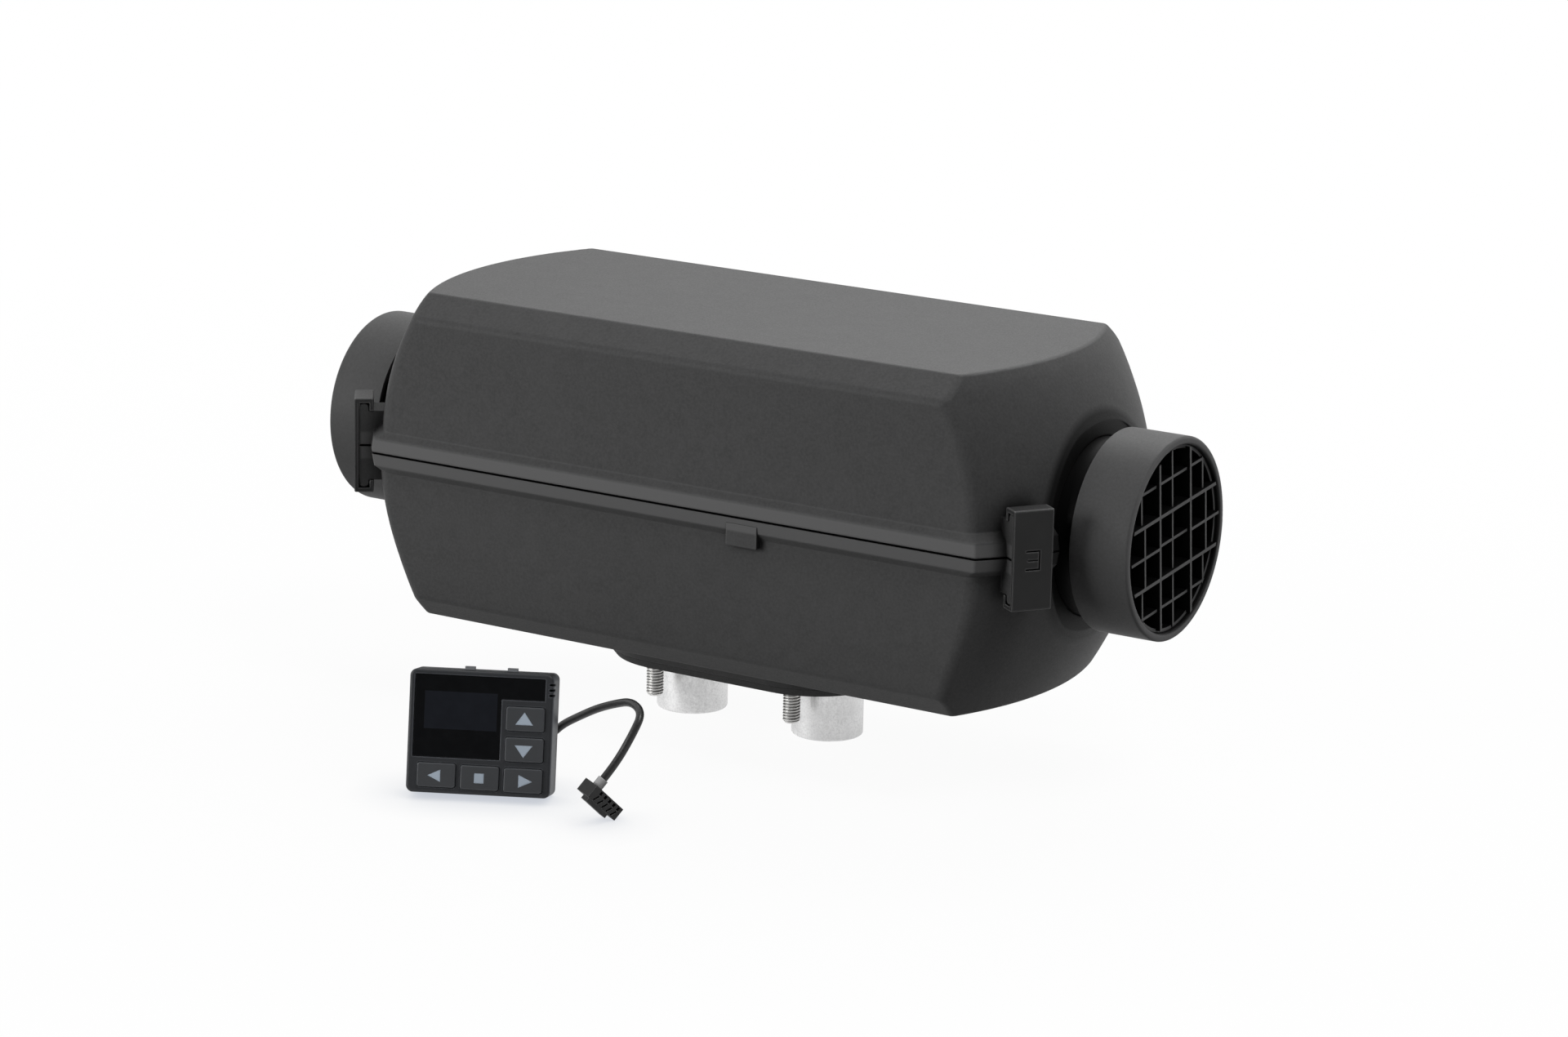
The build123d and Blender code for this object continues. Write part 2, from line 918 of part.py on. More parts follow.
def build_inlet_grille():
    """Square guard: full bars, short flush bars and the recessed bars between them."""
    rim = overall_length / 2 - grille_setback
    hoop_radius = collar_radius - collar_wall - hoop_gap
    turn = radians(grille_turn)
    bars = Plane(
        origin=(rim, 0, axis_height),
        x_dir=(0, cos(turn), sin(turn)),
        z_dir=(1, 0, 0),
    )
    across = 2 * hoop_radius
    with BuildPart() as inlet_grille:
        with BuildSketch(bars):
            with GridLocations(2 * grille_pitch, 0, 2, 1):
                Rectangle(main_bar, across)
            with GridLocations(0, 2 * grille_pitch, 1, 2):
                Rectangle(across, main_bar)
            with GridLocations(4 * grille_pitch, 0, 2, 1):
                Rectangle(minor_bar, 2 * grille_pitch)
            with GridLocations(4 * grille_pitch, 0, 2, 1):
                Rectangle(2 * grille_pitch, minor_bar)
            Circle(hoop_radius - hoop_wall / 2, mode=Mode.INTERSECT)
        extrude(amount=-bar_depth)
        with BuildSketch(bars.offset(-minor_recess)):
            with GridLocations(2 * grille_pitch, 0, 3, 1):
                Rectangle(minor_bar, across)
            with GridLocations(0, 2 * grille_pitch, 1, 3):
                Rectangle(across, minor_bar)
            Circle(hoop_radius - hoop_wall / 2, mode=Mode.INTERSECT)
        extrude(amount=minor_recess - bar_depth)
        with BuildSketch(cross_plane(rim - hoop_setback)):
            Circle(hoop_radius)
            Circle(hoop_radius - hoop_wall, mode=Mode.SUBTRACT)
        extrude(amount=-hoop_length)
    write(inlet_grille, "inlet_grille")


# -------------------------------------------------------------------------- clips
def build_clip(end, front, name):
    """C-shaped clip that slides over the rails of both halves and holds them shut."""
    plane = clip_plane(end, front)
    outward = plane.x_dir
    face = Plane(
        origin=plane.origin,
        x_dir=Vector(0, 0, 1).cross(outward),
        z_dir=outward,
    )
    toward_collar = -end * front
    with BuildPart() as clip:
        with BuildSketch(plane) as channel:
            with Locations((-clip_depth / 2, 0)):
                Rectangle(clip_depth, clip_height)
            fillet(channel.vertices(), radius=clip_rounding)
            pocket = clip_depth - clip_plate
            with Locations((-clip_plate - pocket / 2, 0)):
                Rectangle(pocket, clip_height - 2 * clip_rim, mode=Mode.SUBTRACT)
            lip_centre = clip_height / 2 - clip_lip_reach / 2 - clip_rounding / 2
            with Locations(
                (-clip_depth + clip_lip / 2, lip_centre),
                (-clip_depth + clip_lip / 2, -lip_centre),
            ):
                Rectangle(clip_lip, clip_lip_reach)
        extrude(amount=clip_length / 2, both=True)
        with BuildSketch(face):
            with GridLocations(0, latch_height + latch_slot, 1, 2):
                Rectangle(latch_width + latch_slot, latch_slot)
            with Locations((toward_collar * (latch_width / 2), 0)):
                Rectangle(latch_slot, latch_height)
        extrude(amount=-clip_plate, mode=Mode.SUBTRACT)
        with BuildSketch(face):
            Rectangle(latch_width - 2 * latch_slot, latch_slot)
        extrude(amount=-latch_mark_depth, mode=Mode.SUBTRACT)
    write(clip, name)


# -------------------------------------------------------- base, stubs and fasteners
def stud_places():
    return GridLocations(stud_spacing_x, stud_spacing_y, 2, 2)


def foot_screw_places():
    return GridLocations(2 * foot_screw_x, 2 * foot_screw_y, 2, 2)


def build_base_gasket():
    """Rubber gasket under the boss, with its outline and the flange's holes."""
    with BuildPart() as base_gasket:
        loft([boss_outline(0.0), boss_outline(gasket_thickness)])
        with BuildSketch(level(0)):
            with Locations((exhaust_x, 0), (intake_x, 0)):
                Circle(stub_radius + loose_gap)
            with stud_places():
                Circle(stud_radius + loose_gap)
            with Locations((pipe_x, pipe_y)):
                Circle(pipe_nipple_radius + loose_gap)
        extrude(amount=gasket_thickness, mode=Mode.SUBTRACT)
    write(base_gasket, "base_gasket")


def build_mounting_flange():
    """Cast plate that carries the stubs, the studs and the feet of what stands on it."""
    with BuildPart() as mounting_flange:
        with BuildSketch(level(gasket_thickness)):
            RectangleRounded(flange_length, flange_width, flange_rounding)
        extrude(amount=flange_top - gasket_thickness)
        with BuildSketch(level(gasket_thickness)):
            with Locations((exhaust_x, 0), (intake_x, 0)):
                Circle(stub_radius - seat_step + running_gap)
            with Locations((pipe_x, pipe_y)):
                Circle(pipe_radius + running_gap)
        extrude(amount=flange_top - gasket_thickness, mode=Mode.SUBTRACT)
        with BuildSketch(level(gasket_thickness)):
            with stud_places():
                Circle(stud_radius - seat_step + running_gap)
        extrude(amount=stud_depth, mode=Mode.SUBTRACT)
        with BuildSketch(level(flange_top)):
            with foot_screw_places():
                Circle(foot_screw_radius + running_gap)
        extrude(amount=-foot_screw_depth - loose_gap, mode=Mode.SUBTRACT)
    write(mounting_flange, "mounting_flange")


def build_stub(x, name):
    """Cast tube with a thinner seat in the flange and a softened lower rim."""
    with BuildPart() as stub:
        with BuildSketch(level(-stub_drop)):
            with Locations((x, 0)):
                Circle(stub_radius)
        extrude(amount=stub_drop - seat_relief)
        fillet(stub.edges().group_by(Axis.Z)[0], radius=stub_rim_rounding)
        with BuildSketch(level(-seat_relief)):
            with Locations((x, 0)):
                Circle(stub_radius - seat_step)
        extrude(amount=seat_relief + flange_top)
        with BuildSketch(level(-stub_drop)):
            with Locations((x, 0)):
                Circle(stub_bore_radius)
        extrude(amount=stub_drop + flange_top, mode=Mode.SUBTRACT)
    write(stub, name)


def build_mounting_studs():
    """Four studs with a thinner seat in the flange's blind holes."""
    with BuildPart() as mounting_studs:
        with BuildSketch(level(-stud_drop)):
            with stud_places():
                Circle(stud_radius)
        extrude(amount=stud_drop - seat_relief)
        chamfer(mounting_studs.edges().group_by(Axis.Z)[0], length=stud_tip_chamfer)
        with BuildSketch(level(-seat_relief)):
            with stud_places():
                Circle(stud_radius - seat_step)
        extrude(amount=seat_relief + gasket_thickness + stud_depth)
    write(mounting_studs, "mounting_studs")


def build_fuel_inlet_pipe():
    """Fuel pipe up through the flange, bent to the joint, with a swelled hose end."""
    pipe_end_x = exchanger_end_x - joint_flange_thickness
    with BuildPart() as fuel_inlet_pipe:
        with BuildLine() as route:
            FilletPolyline(
                (pipe_x, pipe_y, -pipe_drop),
                (pipe_x, pipe_y, pipe_height),
                (pipe_end_x, pipe_y, pipe_height),
                radius=pipe_bend_radius,
            )
        with BuildSketch(Plane(route.line @ 0, z_dir=route.line % 0)):
            Circle(pipe_radius)
            Circle(pipe_bore_radius, mode=Mode.SUBTRACT)
        sweep()
        with BuildSketch(level(-pipe_drop)):
            with Locations((pipe_x, pipe_y)):
                Circle(pipe_nipple_radius)
                Circle(pipe_bore_radius, mode=Mode.SUBTRACT)
        extrude(amount=pipe_drop - seat_relief)
    write(fuel_inlet_pipe, "fuel_inlet_pipe")


def build_foot_screws():
    """Socket screws that hold both feet down on the flange."""
    top = flange_top + foot_plate
    with BuildPart() as foot_screws:
        with BuildSketch(level(flange_top - foot_screw_depth)):
            with foot_screw_places():
                Circle(foot_screw_radius)
        extrude(amount=foot_screw_depth + foot_plate)
        with BuildSketch(level(top)):
            with foot_screw_places():
                Circle(foot_screw_head_radius)
        extrude(amount=foot_screw_head)
        with BuildSketch(level(top + foot_screw_head)):
            with foot_screw_places():
                RegularPolygon(foot_screw_radius, 6)
        extrude(amount=-foot_screw_head / 2, mode=Mode.SUBTRACT)
    write(foot_screws, "foot_screws")


# --------------------------------------------------------- heat exchanger and burner
def build_heat_exchanger():
    """Cast cup with long fins, a joint flange, an exhaust foot and sensor bosses."""
    fin_span = fin_height + fin_root
    fin_middle = fin_radius - fin_span / 2
    fin_start_x = exchanger_start_x + fin_start_setback
    fin_end_x = exchanger_end_x - fin_end_setback
    foot_middle_x = exchanger_foot_length / 2 - foot_end_x
    boss_root = axis_height + exchanger_bore_radius + fin_root
    boss_top = axis_height + exchanger_radius + plug_boss_rise
    with BuildPart() as heat_exchanger:
        with BuildSketch(duct_plane) as cup:
            with BuildLine():
                Polyline(
                    (exchanger_start_x, 0),
                    (exchanger_start_x, exchanger_radius),
                    (exchanger_end_x - joint_flange_thickness, exchanger_radius),
                    (exchanger_end_x - joint_flange_thickness, joint_flange_radius),
                    (exchanger_end_x, joint_flange_radius),
                    (exchanger_end_x, exchanger_bore_radius),
                    (exchanger_start_x + exchanger_wall_end, exchanger_bore_radius),
                    (exchanger_start_x + exchanger_wall_end, 0),
                    close=True,
                )
            make_face()
            fillet(
                cup.vertices().filter_by_position(
                    Axis.X, exchanger_start_x - 0.1, exchanger_start_x + 0.1
                ).sort_by(Axis.Y)[-1],
                radius=exchanger_end_rounding,
            )
        revolve(axis=duct_axis)
        with BuildSketch(cross_plane(fin_start_x)):
            for start in (radial_up + fin_step, 2 * fin_step - radial_up):
                with PolarLocations(
                    fin_middle,
                    fins_per_side,
                    start_angle=start,
                    angular_range=(fins_per_side - 1) * fin_step,
                    endpoint=True,
                ):
                    Rectangle(fin_span, fin_thickness)
        extrude(amount=fin_end_x - fin_start_x)
        with BuildSketch(level(flange_top)):
            with Locations((foot_middle_x, 0)):
                RectangleRounded(exchanger_foot_length, foot_width, foot_corner)
        extrude(amount=foot_plate)
        with BuildSketch(level(flange_top)):
            with Locations((exhaust_x, 0)):
                RectangleRounded(
                    exchanger_duct_width,
                    exchanger_duct_width,
                    exchanger_duct_rounding,
                )
        extrude(amount=axis_height - exchanger_bore_radius - fin_root - flange_top)
        with BuildSketch(level(boss_root)):
            with Locations((plug_x, 0)):
                Circle(plug_boss_radius)
            with Locations((flame_sensor_x, 0)):
                Circle(2 * flame_sensor_radius)
            with Locations((overheat_pad_x, 0)):
                RectangleRounded(
                    overheat_pad_length, overheat_pad_width, overheat_pad_corner
                )
        extrude(amount=boss_top - boss_root)
        with BuildSketch(level(axis_height)):
            with Locations((plug_x, 0)):
                Circle(plug_radius + running_gap)
            with Locations((flame_sensor_x, 0)):
                Circle(flame_sensor_radius + running_gap)
        extrude(amount=fin_radius, mode=Mode.SUBTRACT)
        with BuildSketch(level(flange_top)):
            with Locations((exhaust_x, 0)):
                Circle(stub_bore_radius)
        extrude(amount=axis_height - flange_top, mode=Mode.SUBTRACT)
        with BuildSketch(level(flange_top)):
            with Locations((-foot_screw_x, foot_screw_y), (-foot_screw_x, -foot_screw_y)):
                Circle(foot_screw_radius + running_gap)
        extrude(amount=foot_plate, mode=Mode.SUBTRACT)
        with BuildSketch(cross_plane(exchanger_end_x)):
            with blower_screw_places():
                Circle(blower_screw_radius + running_gap)
        extrude(amount=-joint_flange_thickness, mode=Mode.SUBTRACT)
    write(heat_exchanger, "heat_exchanger")


def blower_screw_places():
    return PolarLocations(blower_screw_circle, 4, start_angle=radial_up / 2)


def build_combustion_chamber():
    """Burner tube on its plate, with rings of air holes and a hole for the plug."""
    plate_end = exchanger_end_x + burner_plate
    with BuildPart() as combustion_chamber:
        with BuildSketch(cross_plane(exchanger_end_x)):
            Circle(joint_flange_radius)
        extrude(amount=burner_plate)
        with BuildSketch(cross_plane(burner_start_x)):
            Circle(burner_radius)
        extrude(amount=exchanger_end_x - burner_start_x)
        with BuildSketch(cross_plane(burner_start_x)):
            Circle(burner_radius - burner_wall)
        extrude(amount=exchanger_end_x - burner_start_x - burner_wall, mode=Mode.SUBTRACT)
        with BuildSketch(cross_plane(plate_end)):
            Circle(blower_inlet_radius)
        extrude(amount=-2 * burner_plate - burner_wall, mode=Mode.SUBTRACT)
        with BuildSketch(cross_plane(plate_end)):
            with blower_screw_places():
                Circle(blower_screw_radius + running_gap)
        extrude(amount=-burner_plate, mode=Mode.SUBTRACT)
        for row in burner_hole_rows:
            for step in range(burner_holes_per_row // 2):
                angle = 360 / burner_holes_per_row * step
                across = Plane(
                    origin=(row, 0, axis_height),
                    x_dir=(1, 0, 0),
                    z_dir=(0, sin(radians(angle)), cos(radians(angle))),
                )
                with BuildSketch(across):
                    Circle(burner_hole_radius)
                extrude(amount=2 * burner_radius, both=True, mode=Mode.SUBTRACT)
        with BuildSketch(level(axis_height)):
            with Locations((plug_x, 0)):
                Circle(plug_radius + loose_gap)
        extrude(amount=2 * burner_radius, mode=Mode.SUBTRACT)
    write(combustion_chamber, "combustion_chamber")


def build_glow_plug():
    """Glow plug: heated tip, thread, hexagon and terminal."""
    seat = axis_height + exchanger_radius + plug_boss_rise
    with BuildPart() as glow_plug:
        with BuildSketch(level(seat)):
            with Locations((plug_x, 0)):
                Circle(plug_radius)
        extrude(amount=-plug_thread)
        with BuildSketch(level(seat - plug_thread)):
            with Locations((plug_x, 0)):
                Circle(plug_tip_radius)
        extrude(amount=-plug_tip)
        with BuildSketch(level(seat)):
            with Locations((plug_x, 0)):
                RegularPolygon(plug_hexagon_radius, 6)
        extrude(amount=plug_hexagon)
        with BuildSketch(level(seat + plug_hexagon)):
            with Locations((plug_x, 0)):
                Circle(plug_terminal_radius)
        extrude(amount=plug_terminal)
    write(glow_plug, "glow_plug")


def build_flame_sensor():
    """Flame sensor through its boss, with a hexagonal head."""
    seat = axis_height + exchanger_radius + plug_boss_rise
    with BuildPart() as flame_sensor:
        with BuildSketch(level(seat)):
            with Locations((flame_sensor_x, 0)):
                Circle(flame_sensor_radius)
        extrude(amount=-plug_boss_rise - exchanger_wall - flame_sensor_reach)
        with BuildSketch(level(seat)):
            with Locations((flame_sensor_x, 0)):
                RegularPolygon(flame_sensor_head_radius, 6)
        extrude(amount=flame_sensor_head)
    write(flame_sensor, "flame_sensor")


def build_overheat_sensor():
    """Flat sensor body on its pad, under a spring strap."""
    seat = axis_height + exchanger_radius + plug_boss_rise
    with BuildPart() as overheat_sensor:
        with BuildSketch(level(seat)):
            with Locations((overheat_pad_x, 0)):
                RectangleRounded(
                    overheat_body_length, overheat_body_width, overheat_pad_corner
                )
        extrude(amount=overheat_body_height)
        with BuildSketch(level(seat)):
            with Locations((overheat_pad_x, 0)):
                Rectangle(overheat_strap_width, overheat_strap_length)
        extrude(amount=overheat_strap_height)
        fillet(overheat_sensor.edges().group_by(Axis.Z)[-1], radius=overheat_rounding)
    write(overheat_sensor, "overheat_sensor")


# ------------------------------------------------------------------- combustion blower
def build_blower_gasket():
    """Ring between the burner plate and the blower, with the screws' holes."""
    with BuildPart() as blower_gasket:
        with BuildSketch(cross_plane(exchanger_end_x + burner_plate)):
            Circle(joint_flange_radius)
            Circle(burner_radius, mode=Mode.SUBTRACT)
            with blower_screw_places():
                Circle(blower_screw_radius + loose_gap, mode=Mode.SUBTRACT)
        extrude(amount=blower_gasket_thickness)
    write(blower_gasket, "blower_gasket")


def build_blower_housing():
    """Drum for the impeller, with an air foot on the flange and a motor seat."""
    chamber_start = blower_start_x + blower_back_wall
    chamber_end = blower_end_x - blower_front_wall
    foot_middle = foot_end_x - blower_foot_length / 2
    riser_length = foot_end_x - blower_start_x
    riser_x = chamber_start + air_riser_radius + air_riser_setback
    drum_floor = axis_height - blower_bore_radius
    with BuildPart() as blower_housing:
        with BuildSketch(cross_plane(blower_start_x)):
            Circle(blower_radius)
        extrude(amount=blower_length)
        with BuildSketch(level(flange_top)):
            with Locations((foot_middle, 0)):
                RectangleRounded(blower_foot_length, foot_width, foot_corner)
        extrude(amount=foot_plate)
        with BuildSketch(level(flange_top)):
            with Locations((foot_middle, 0)):
                RectangleRounded(
                    blower_foot_length, blower_block_width, blower_block_corner
                )
        extrude(amount=blower_block_height)
        with BuildSketch(level(flange_top)):
            with Locations((foot_end_x - riser_length / 2, 0)):
                Rectangle(riser_length, blower_block_width)
        extrude(amount=drum_floor - air_riser_setback - flange_top)
        with BuildSketch(cross_plane(chamber_start)):
            Circle(blower_bore_radius)
        extrude(amount=chamber_end - chamber_start, mode=Mode.SUBTRACT)
        with BuildSketch(cross_plane(blower_start_x)):
            Circle(blower_inlet_radius)
        extrude(amount=blower_back_wall, mode=Mode.SUBTRACT)
        with BuildSketch(cross_plane(blower_end_x)):
            Circle(motor_nose_radius + running_gap)
        extrude(amount=-blower_front_wall, mode=Mode.SUBTRACT)
        with BuildSketch(level(flange_top)):
            with Locations((intake_x, 0)):
                Circle(stub_bore_radius)
        extrude(amount=air_well_depth, mode=Mode.SUBTRACT)
        with BuildSketch(level(flange_top)):
            with Locations((riser_x, 0)):
                Circle(air_riser_radius)
        extrude(amount=axis_height - flange_top - impeller_radius, mode=Mode.SUBTRACT)
        with BuildSketch(level(flange_top)):
            with Locations((foot_screw_x, foot_screw_y), (foot_screw_x, -foot_screw_y)):
                Circle(foot_screw_radius + running_gap)
        extrude(amount=foot_plate, mode=Mode.SUBTRACT)
        with BuildSketch(cross_plane(blower_end_x)):
            with blower_screw_places():
                Circle(blower_screw_radius + running_gap)
        extrude(amount=-blower_length, mode=Mode.SUBTRACT)
    write(blower_housing, "blower_housing")


def build_blower_screws():
    """Four long screws through housing, gasket and burner plate to the exchanger."""
    tip = exchanger_end_x - joint_flange_thickness
    with BuildPart() as blower_screws:
        with BuildSketch(cross_plane(tip)):
            with blower_screw_places():
                Circle(blower_screw_radius)
        extrude(amount=blower_end_x - tip)
        with BuildSketch(cross_plane(blower_end_x)):
            with blower_screw_places():
                Circle(blower_screw_head_radius)
        extrude(amount=blower_screw_head)
    write(blower_screws, "blower_screws")


def build_blower_motor():
    """Motor can on its flange, with a nose at each end and a bore for the shaft."""
    with BuildPart() as blower_motor:
        with BuildSketch(cross_plane(blower_end_x)):
            Circle(motor_flange_radius)
        extrude(amount=motor_flange_thickness)
        with BuildSketch(cross_plane(blower_end_x)):
            Circle(motor_radius)
        extrude(amount=motor_length)
        fillet(blower_motor.edges().group_by(Axis.X)[-1], radius=motor_end_rounding)
        with BuildSketch(cross_plane(blower_end_x)):
            Circle(motor_nose_radius)
        extrude(amount=-blower_front_wall)
        with BuildSketch(cross_plane(blower_end_x + motor_length)):
            Circle(motor_nose_radius)
        extrude(amount=motor_nose)
        with BuildSketch(cross_plane(blower_end_x - blower_front_wall)):
            Circle(shaft_radius + running_gap)
        extrude(
            amount=blower_front_wall + motor_length + motor_nose,
            mode=Mode.SUBTRACT,
        )
    write(blower_motor, "blower_motor")


def build_motor_shaft():
    """Shaft from inside the blower, through the motor and the fan, to past the nut."""
    start = blower_start_x + blower_back_wall + shaft_start_gap
    end = fan_start_x + fan_length + nut_length + shaft_end_proud
    with BuildPart() as motor_shaft:
        with BuildSketch(cross_plane(start)):
            Circle(shaft_radius)
        extrude(amount=end - start)
        chamfer(motor_shaft.edges().group_by(Axis.X)[-1], length=shaft_chamfer)
    write(motor_shaft, "motor_shaft")


def build_combustion_impeller():
    """Radial impeller: back disc, hub and backward-leaning blades."""
    disc_end = blower_end_x - blower_front_wall - impeller_disc_gap
    disc_start = disc_end - impeller_disc
    blade_start = disc_start - impeller_blade_height
    blade_reach = impeller_radius - impeller_blade_inner
    blade_length = blade_reach / cos(radians(impeller_blade_lean)) - impeller_blade_tip_gap
    with BuildPart() as combustion_impeller:
        with BuildSketch(cross_plane(disc_start)):
            Circle(impeller_radius)
        extrude(amount=impeller_disc)
        with BuildSketch(cross_plane(disc_start)):
            Circle(impeller_hub_radius)
        extrude(amount=impeller_hub_setback - impeller_blade_height)
        with BuildSketch(cross_plane(blade_start)):
            with PolarLocations(impeller_radius - blade_reach / 2, impeller_blades):
                Rectangle(
                    blade_length,
                    impeller_blade_thickness,
                    rotation=impeller_blade_lean,
                )
        extrude(amount=impeller_blade_height)
        with BuildSketch(cross_plane(blade_start)):
            Circle(shaft_radius + running_gap / 2)
        extrude(amount=impeller_blade_height + impeller_disc, mode=Mode.SUBTRACT)
    write(combustion_impeller, "combustion_impeller")


# ------------------------------------------------------------------------ hot air fan
def fan_blade():
    """One twisted blade, lofted from its root section to its tip section."""
    middle_x = fan_start_x + fan_length / 2
    bow = fan_blade_bow
    sections = []
    for radius, chord, angle in (
        (fan_hub_radius - fan_blade_root, fan_root_chord, fan_root_angle),
        (fan_radius, fan_tip_chord, fan_tip_angle),
    ):
        turn = radians(radial_up - angle)
        plane = Plane(
            origin=(middle_x, 0, axis_height + radius),
            x_dir=(cos(turn), sin(turn), 0),
            z_dir=(0, 0, 1),
        )
        with BuildSketch(plane) as section:
            with BuildLine():
                ThreePointArc((-chord / 2, 0), (0, bow), (chord / 2, 0))
                ThreePointArc((chord / 2, 0), (0, bow + fan_blade_thickness), (-chord / 2, 0))
            make_face()
        sections.append(section.sketch)
    with BuildPart() as blade:
        loft(sections)
    return blade.part


def build_heating_fan():
    """Axial fan: domed hub on the shaft and a ring of twisted blades."""
    fan_end_x = fan_start_x + fan_length
    dome_start_x = fan_end_x - fan_nose
    dome_middle = (fan_end_x - fan_nose * 0.25, fan_hub_radius - fan_nose * 0.6)
    dome_end = (fan_end_x, fan_hub_radius - fan_nose * 1.6)
    with BuildPart() as heating_fan:
        with BuildSketch(duct_plane):
            with BuildLine():
                Line((fan_start_x, shaft_radius), (fan_start_x, fan_hub_radius))
                Line((fan_start_x, fan_hub_radius), (dome_start_x, fan_hub_radius))
                ThreePointArc((dome_start_x, fan_hub_radius), dome_middle, dome_end)
                Line(dome_end, (fan_end_x, shaft_radius))
                Line((fan_end_x, shaft_radius), (fan_start_x, shaft_radius))
            make_face()
        revolve(axis=duct_axis)
        blade = fan_blade()
        for step in range(fan_blades):
            add(blade.rotate(duct_axis, 360 / fan_blades * step))
        with BuildSketch(cross_plane(fan_start_x)):
            Circle(shaft_radius + running_gap / 2)
        extrude(amount=fan_length, mode=Mode.SUBTRACT)
    write(heating_fan, "heating_fan")


def build_fan_nut():
    """Hexagon nut that holds the fan on the shaft."""
    with BuildPart() as fan_nut:
        with BuildSketch(cross_plane(fan_start_x + fan_length)):
            RegularPolygon(nut_radius, 6)
            Circle(shaft_radius + running_gap / 2, mode=Mode.SUBTRACT)
        extrude(amount=nut_length)
    write(fan_nut, "fan_nut")


# ----------------------------------------------------------------------- control unit
def unit_screw_places():
    height = unit_rise + unit_screw_rise
    return Locations((unit_screw_y, height), (-unit_screw_y, height))


def build_control_unit():
    """Sealed electronics box, with a saddle on the motor and an ear on the blower."""
    bottom = axis_height + unit_rise
    saddle_bottom = axis_height + motor_radius - unit_saddle_wrap
    middle_x = unit_start_x + unit_length / 2
    with BuildPart() as control_unit:
        with BuildSketch(level(bottom)):
            with Locations((middle_x, 0)):
                RectangleRounded(unit_length, unit_width, unit_corner)
        extrude(amount=unit_height)
        fillet(control_unit.edges().group_by(Axis.Z)[-1], radius=unit_rounding)
        with BuildSketch(level(bottom)):
            with Locations((middle_x, 0)):
                with GridLocations(0, unit_rib_pitch, 1, unit_ribs):
                    Rectangle(unit_length - 2 * unit_rib_inset, unit_rib_width)
        extrude(amount=unit_height + unit_rib_height)
        with BuildSketch(level(saddle_bottom)):
            with Locations((middle_x, 0)):
                Rectangle(unit_length - 2 * unit_saddle_inset, unit_saddle_width)
        extrude(amount=bottom + unit_rib_height - saddle_bottom)
        with BuildSketch(cross_plane(blower_end_x)):
            with Locations((0, unit_rise + unit_ear_rise)):
                Rectangle(2 * (unit_screw_y + unit_ear_margin), unit_ear_height)
        extrude(amount=unit_setback + unit_rib_height)
        with BuildSketch(cross_plane(blower_end_x + unit_ear_thickness)):
            with unit_screw_places():
                Circle(unit_screw_head_radius)
        extrude(amount=unit_length, mode=Mode.SUBTRACT)
        with BuildSketch(cross_plane(blower_end_x)):
            with unit_screw_places():
                Circle(unit_screw_radius + running_gap)
        extrude(amount=2 * unit_ear_thickness, mode=Mode.SUBTRACT)
        with BuildSketch(cross_plane(blower_end_x)):
            Circle(motor_radius + loose_gap)
        extrude(amount=motor_length + unit_fan_gap, mode=Mode.SUBTRACT)
        with BuildSketch(cross_plane(blower_end_x)):
            Circle(motor_flange_radius + loose_gap)
        extrude(amount=motor_flange_thickness + loose_gap, mode=Mode.SUBTRACT)
    write(control_unit, "control_unit")


# ---------------------------------------------------------------------- control panel
def panel_plane():
    """Plane of the panel's face, its origin at the middle of the face's lower edge."""
    turn, lean = radians(panel_turn), radians(panel_lean)
    outward = Vector(sin(turn) * cos(lean), -cos(turn) * cos(lean), sin(lean))
    return Plane(
        origin=(panel_x, panel_y, floor_height + panel_depth * sin(lean)),
        x_dir=(cos(turn), sin(turn), 0),
        z_dir=outward,
    )


panel = panel_plane()


def behind(depth):
    """Plane parallel to the panel's face, at a depth behind it."""
    return panel.offset(-depth)


def panel_rectangle(inset, rounding):
    with Locations((0, panel_height / 2)):
        RectangleRounded(panel_width - 2 * inset, panel_height - 2 * inset, rounding)


def window_outline(depth, margin):
    """L-shaped window at a depth behind the face, grown by a margin, inside the shell."""
    left, right = window_left - margin, window_right + margin
    split = window_split + margin
    top, step, bottom = window_top + margin, window_step - margin, window_bottom - margin
    with BuildSketch(behind(depth)) as outline:
        with BuildLine():
            Polyline(
                (left, bottom),
                (split, bottom),
                (split, step),
                (right, step),
                (right, top),
                (left, top),
                close=True,
            )
        make_face()
        with Locations((0, panel_height / 2)):
            RectangleRounded(
                panel_width - 2 * (bezel_wall + window_shell_gap),
                panel_height - 2 * (bezel_wall + window_shell_gap),
                panel_rounding - bezel_wall / 2,
                mode=Mode.INTERSECT,
            )
    return outline.sketch


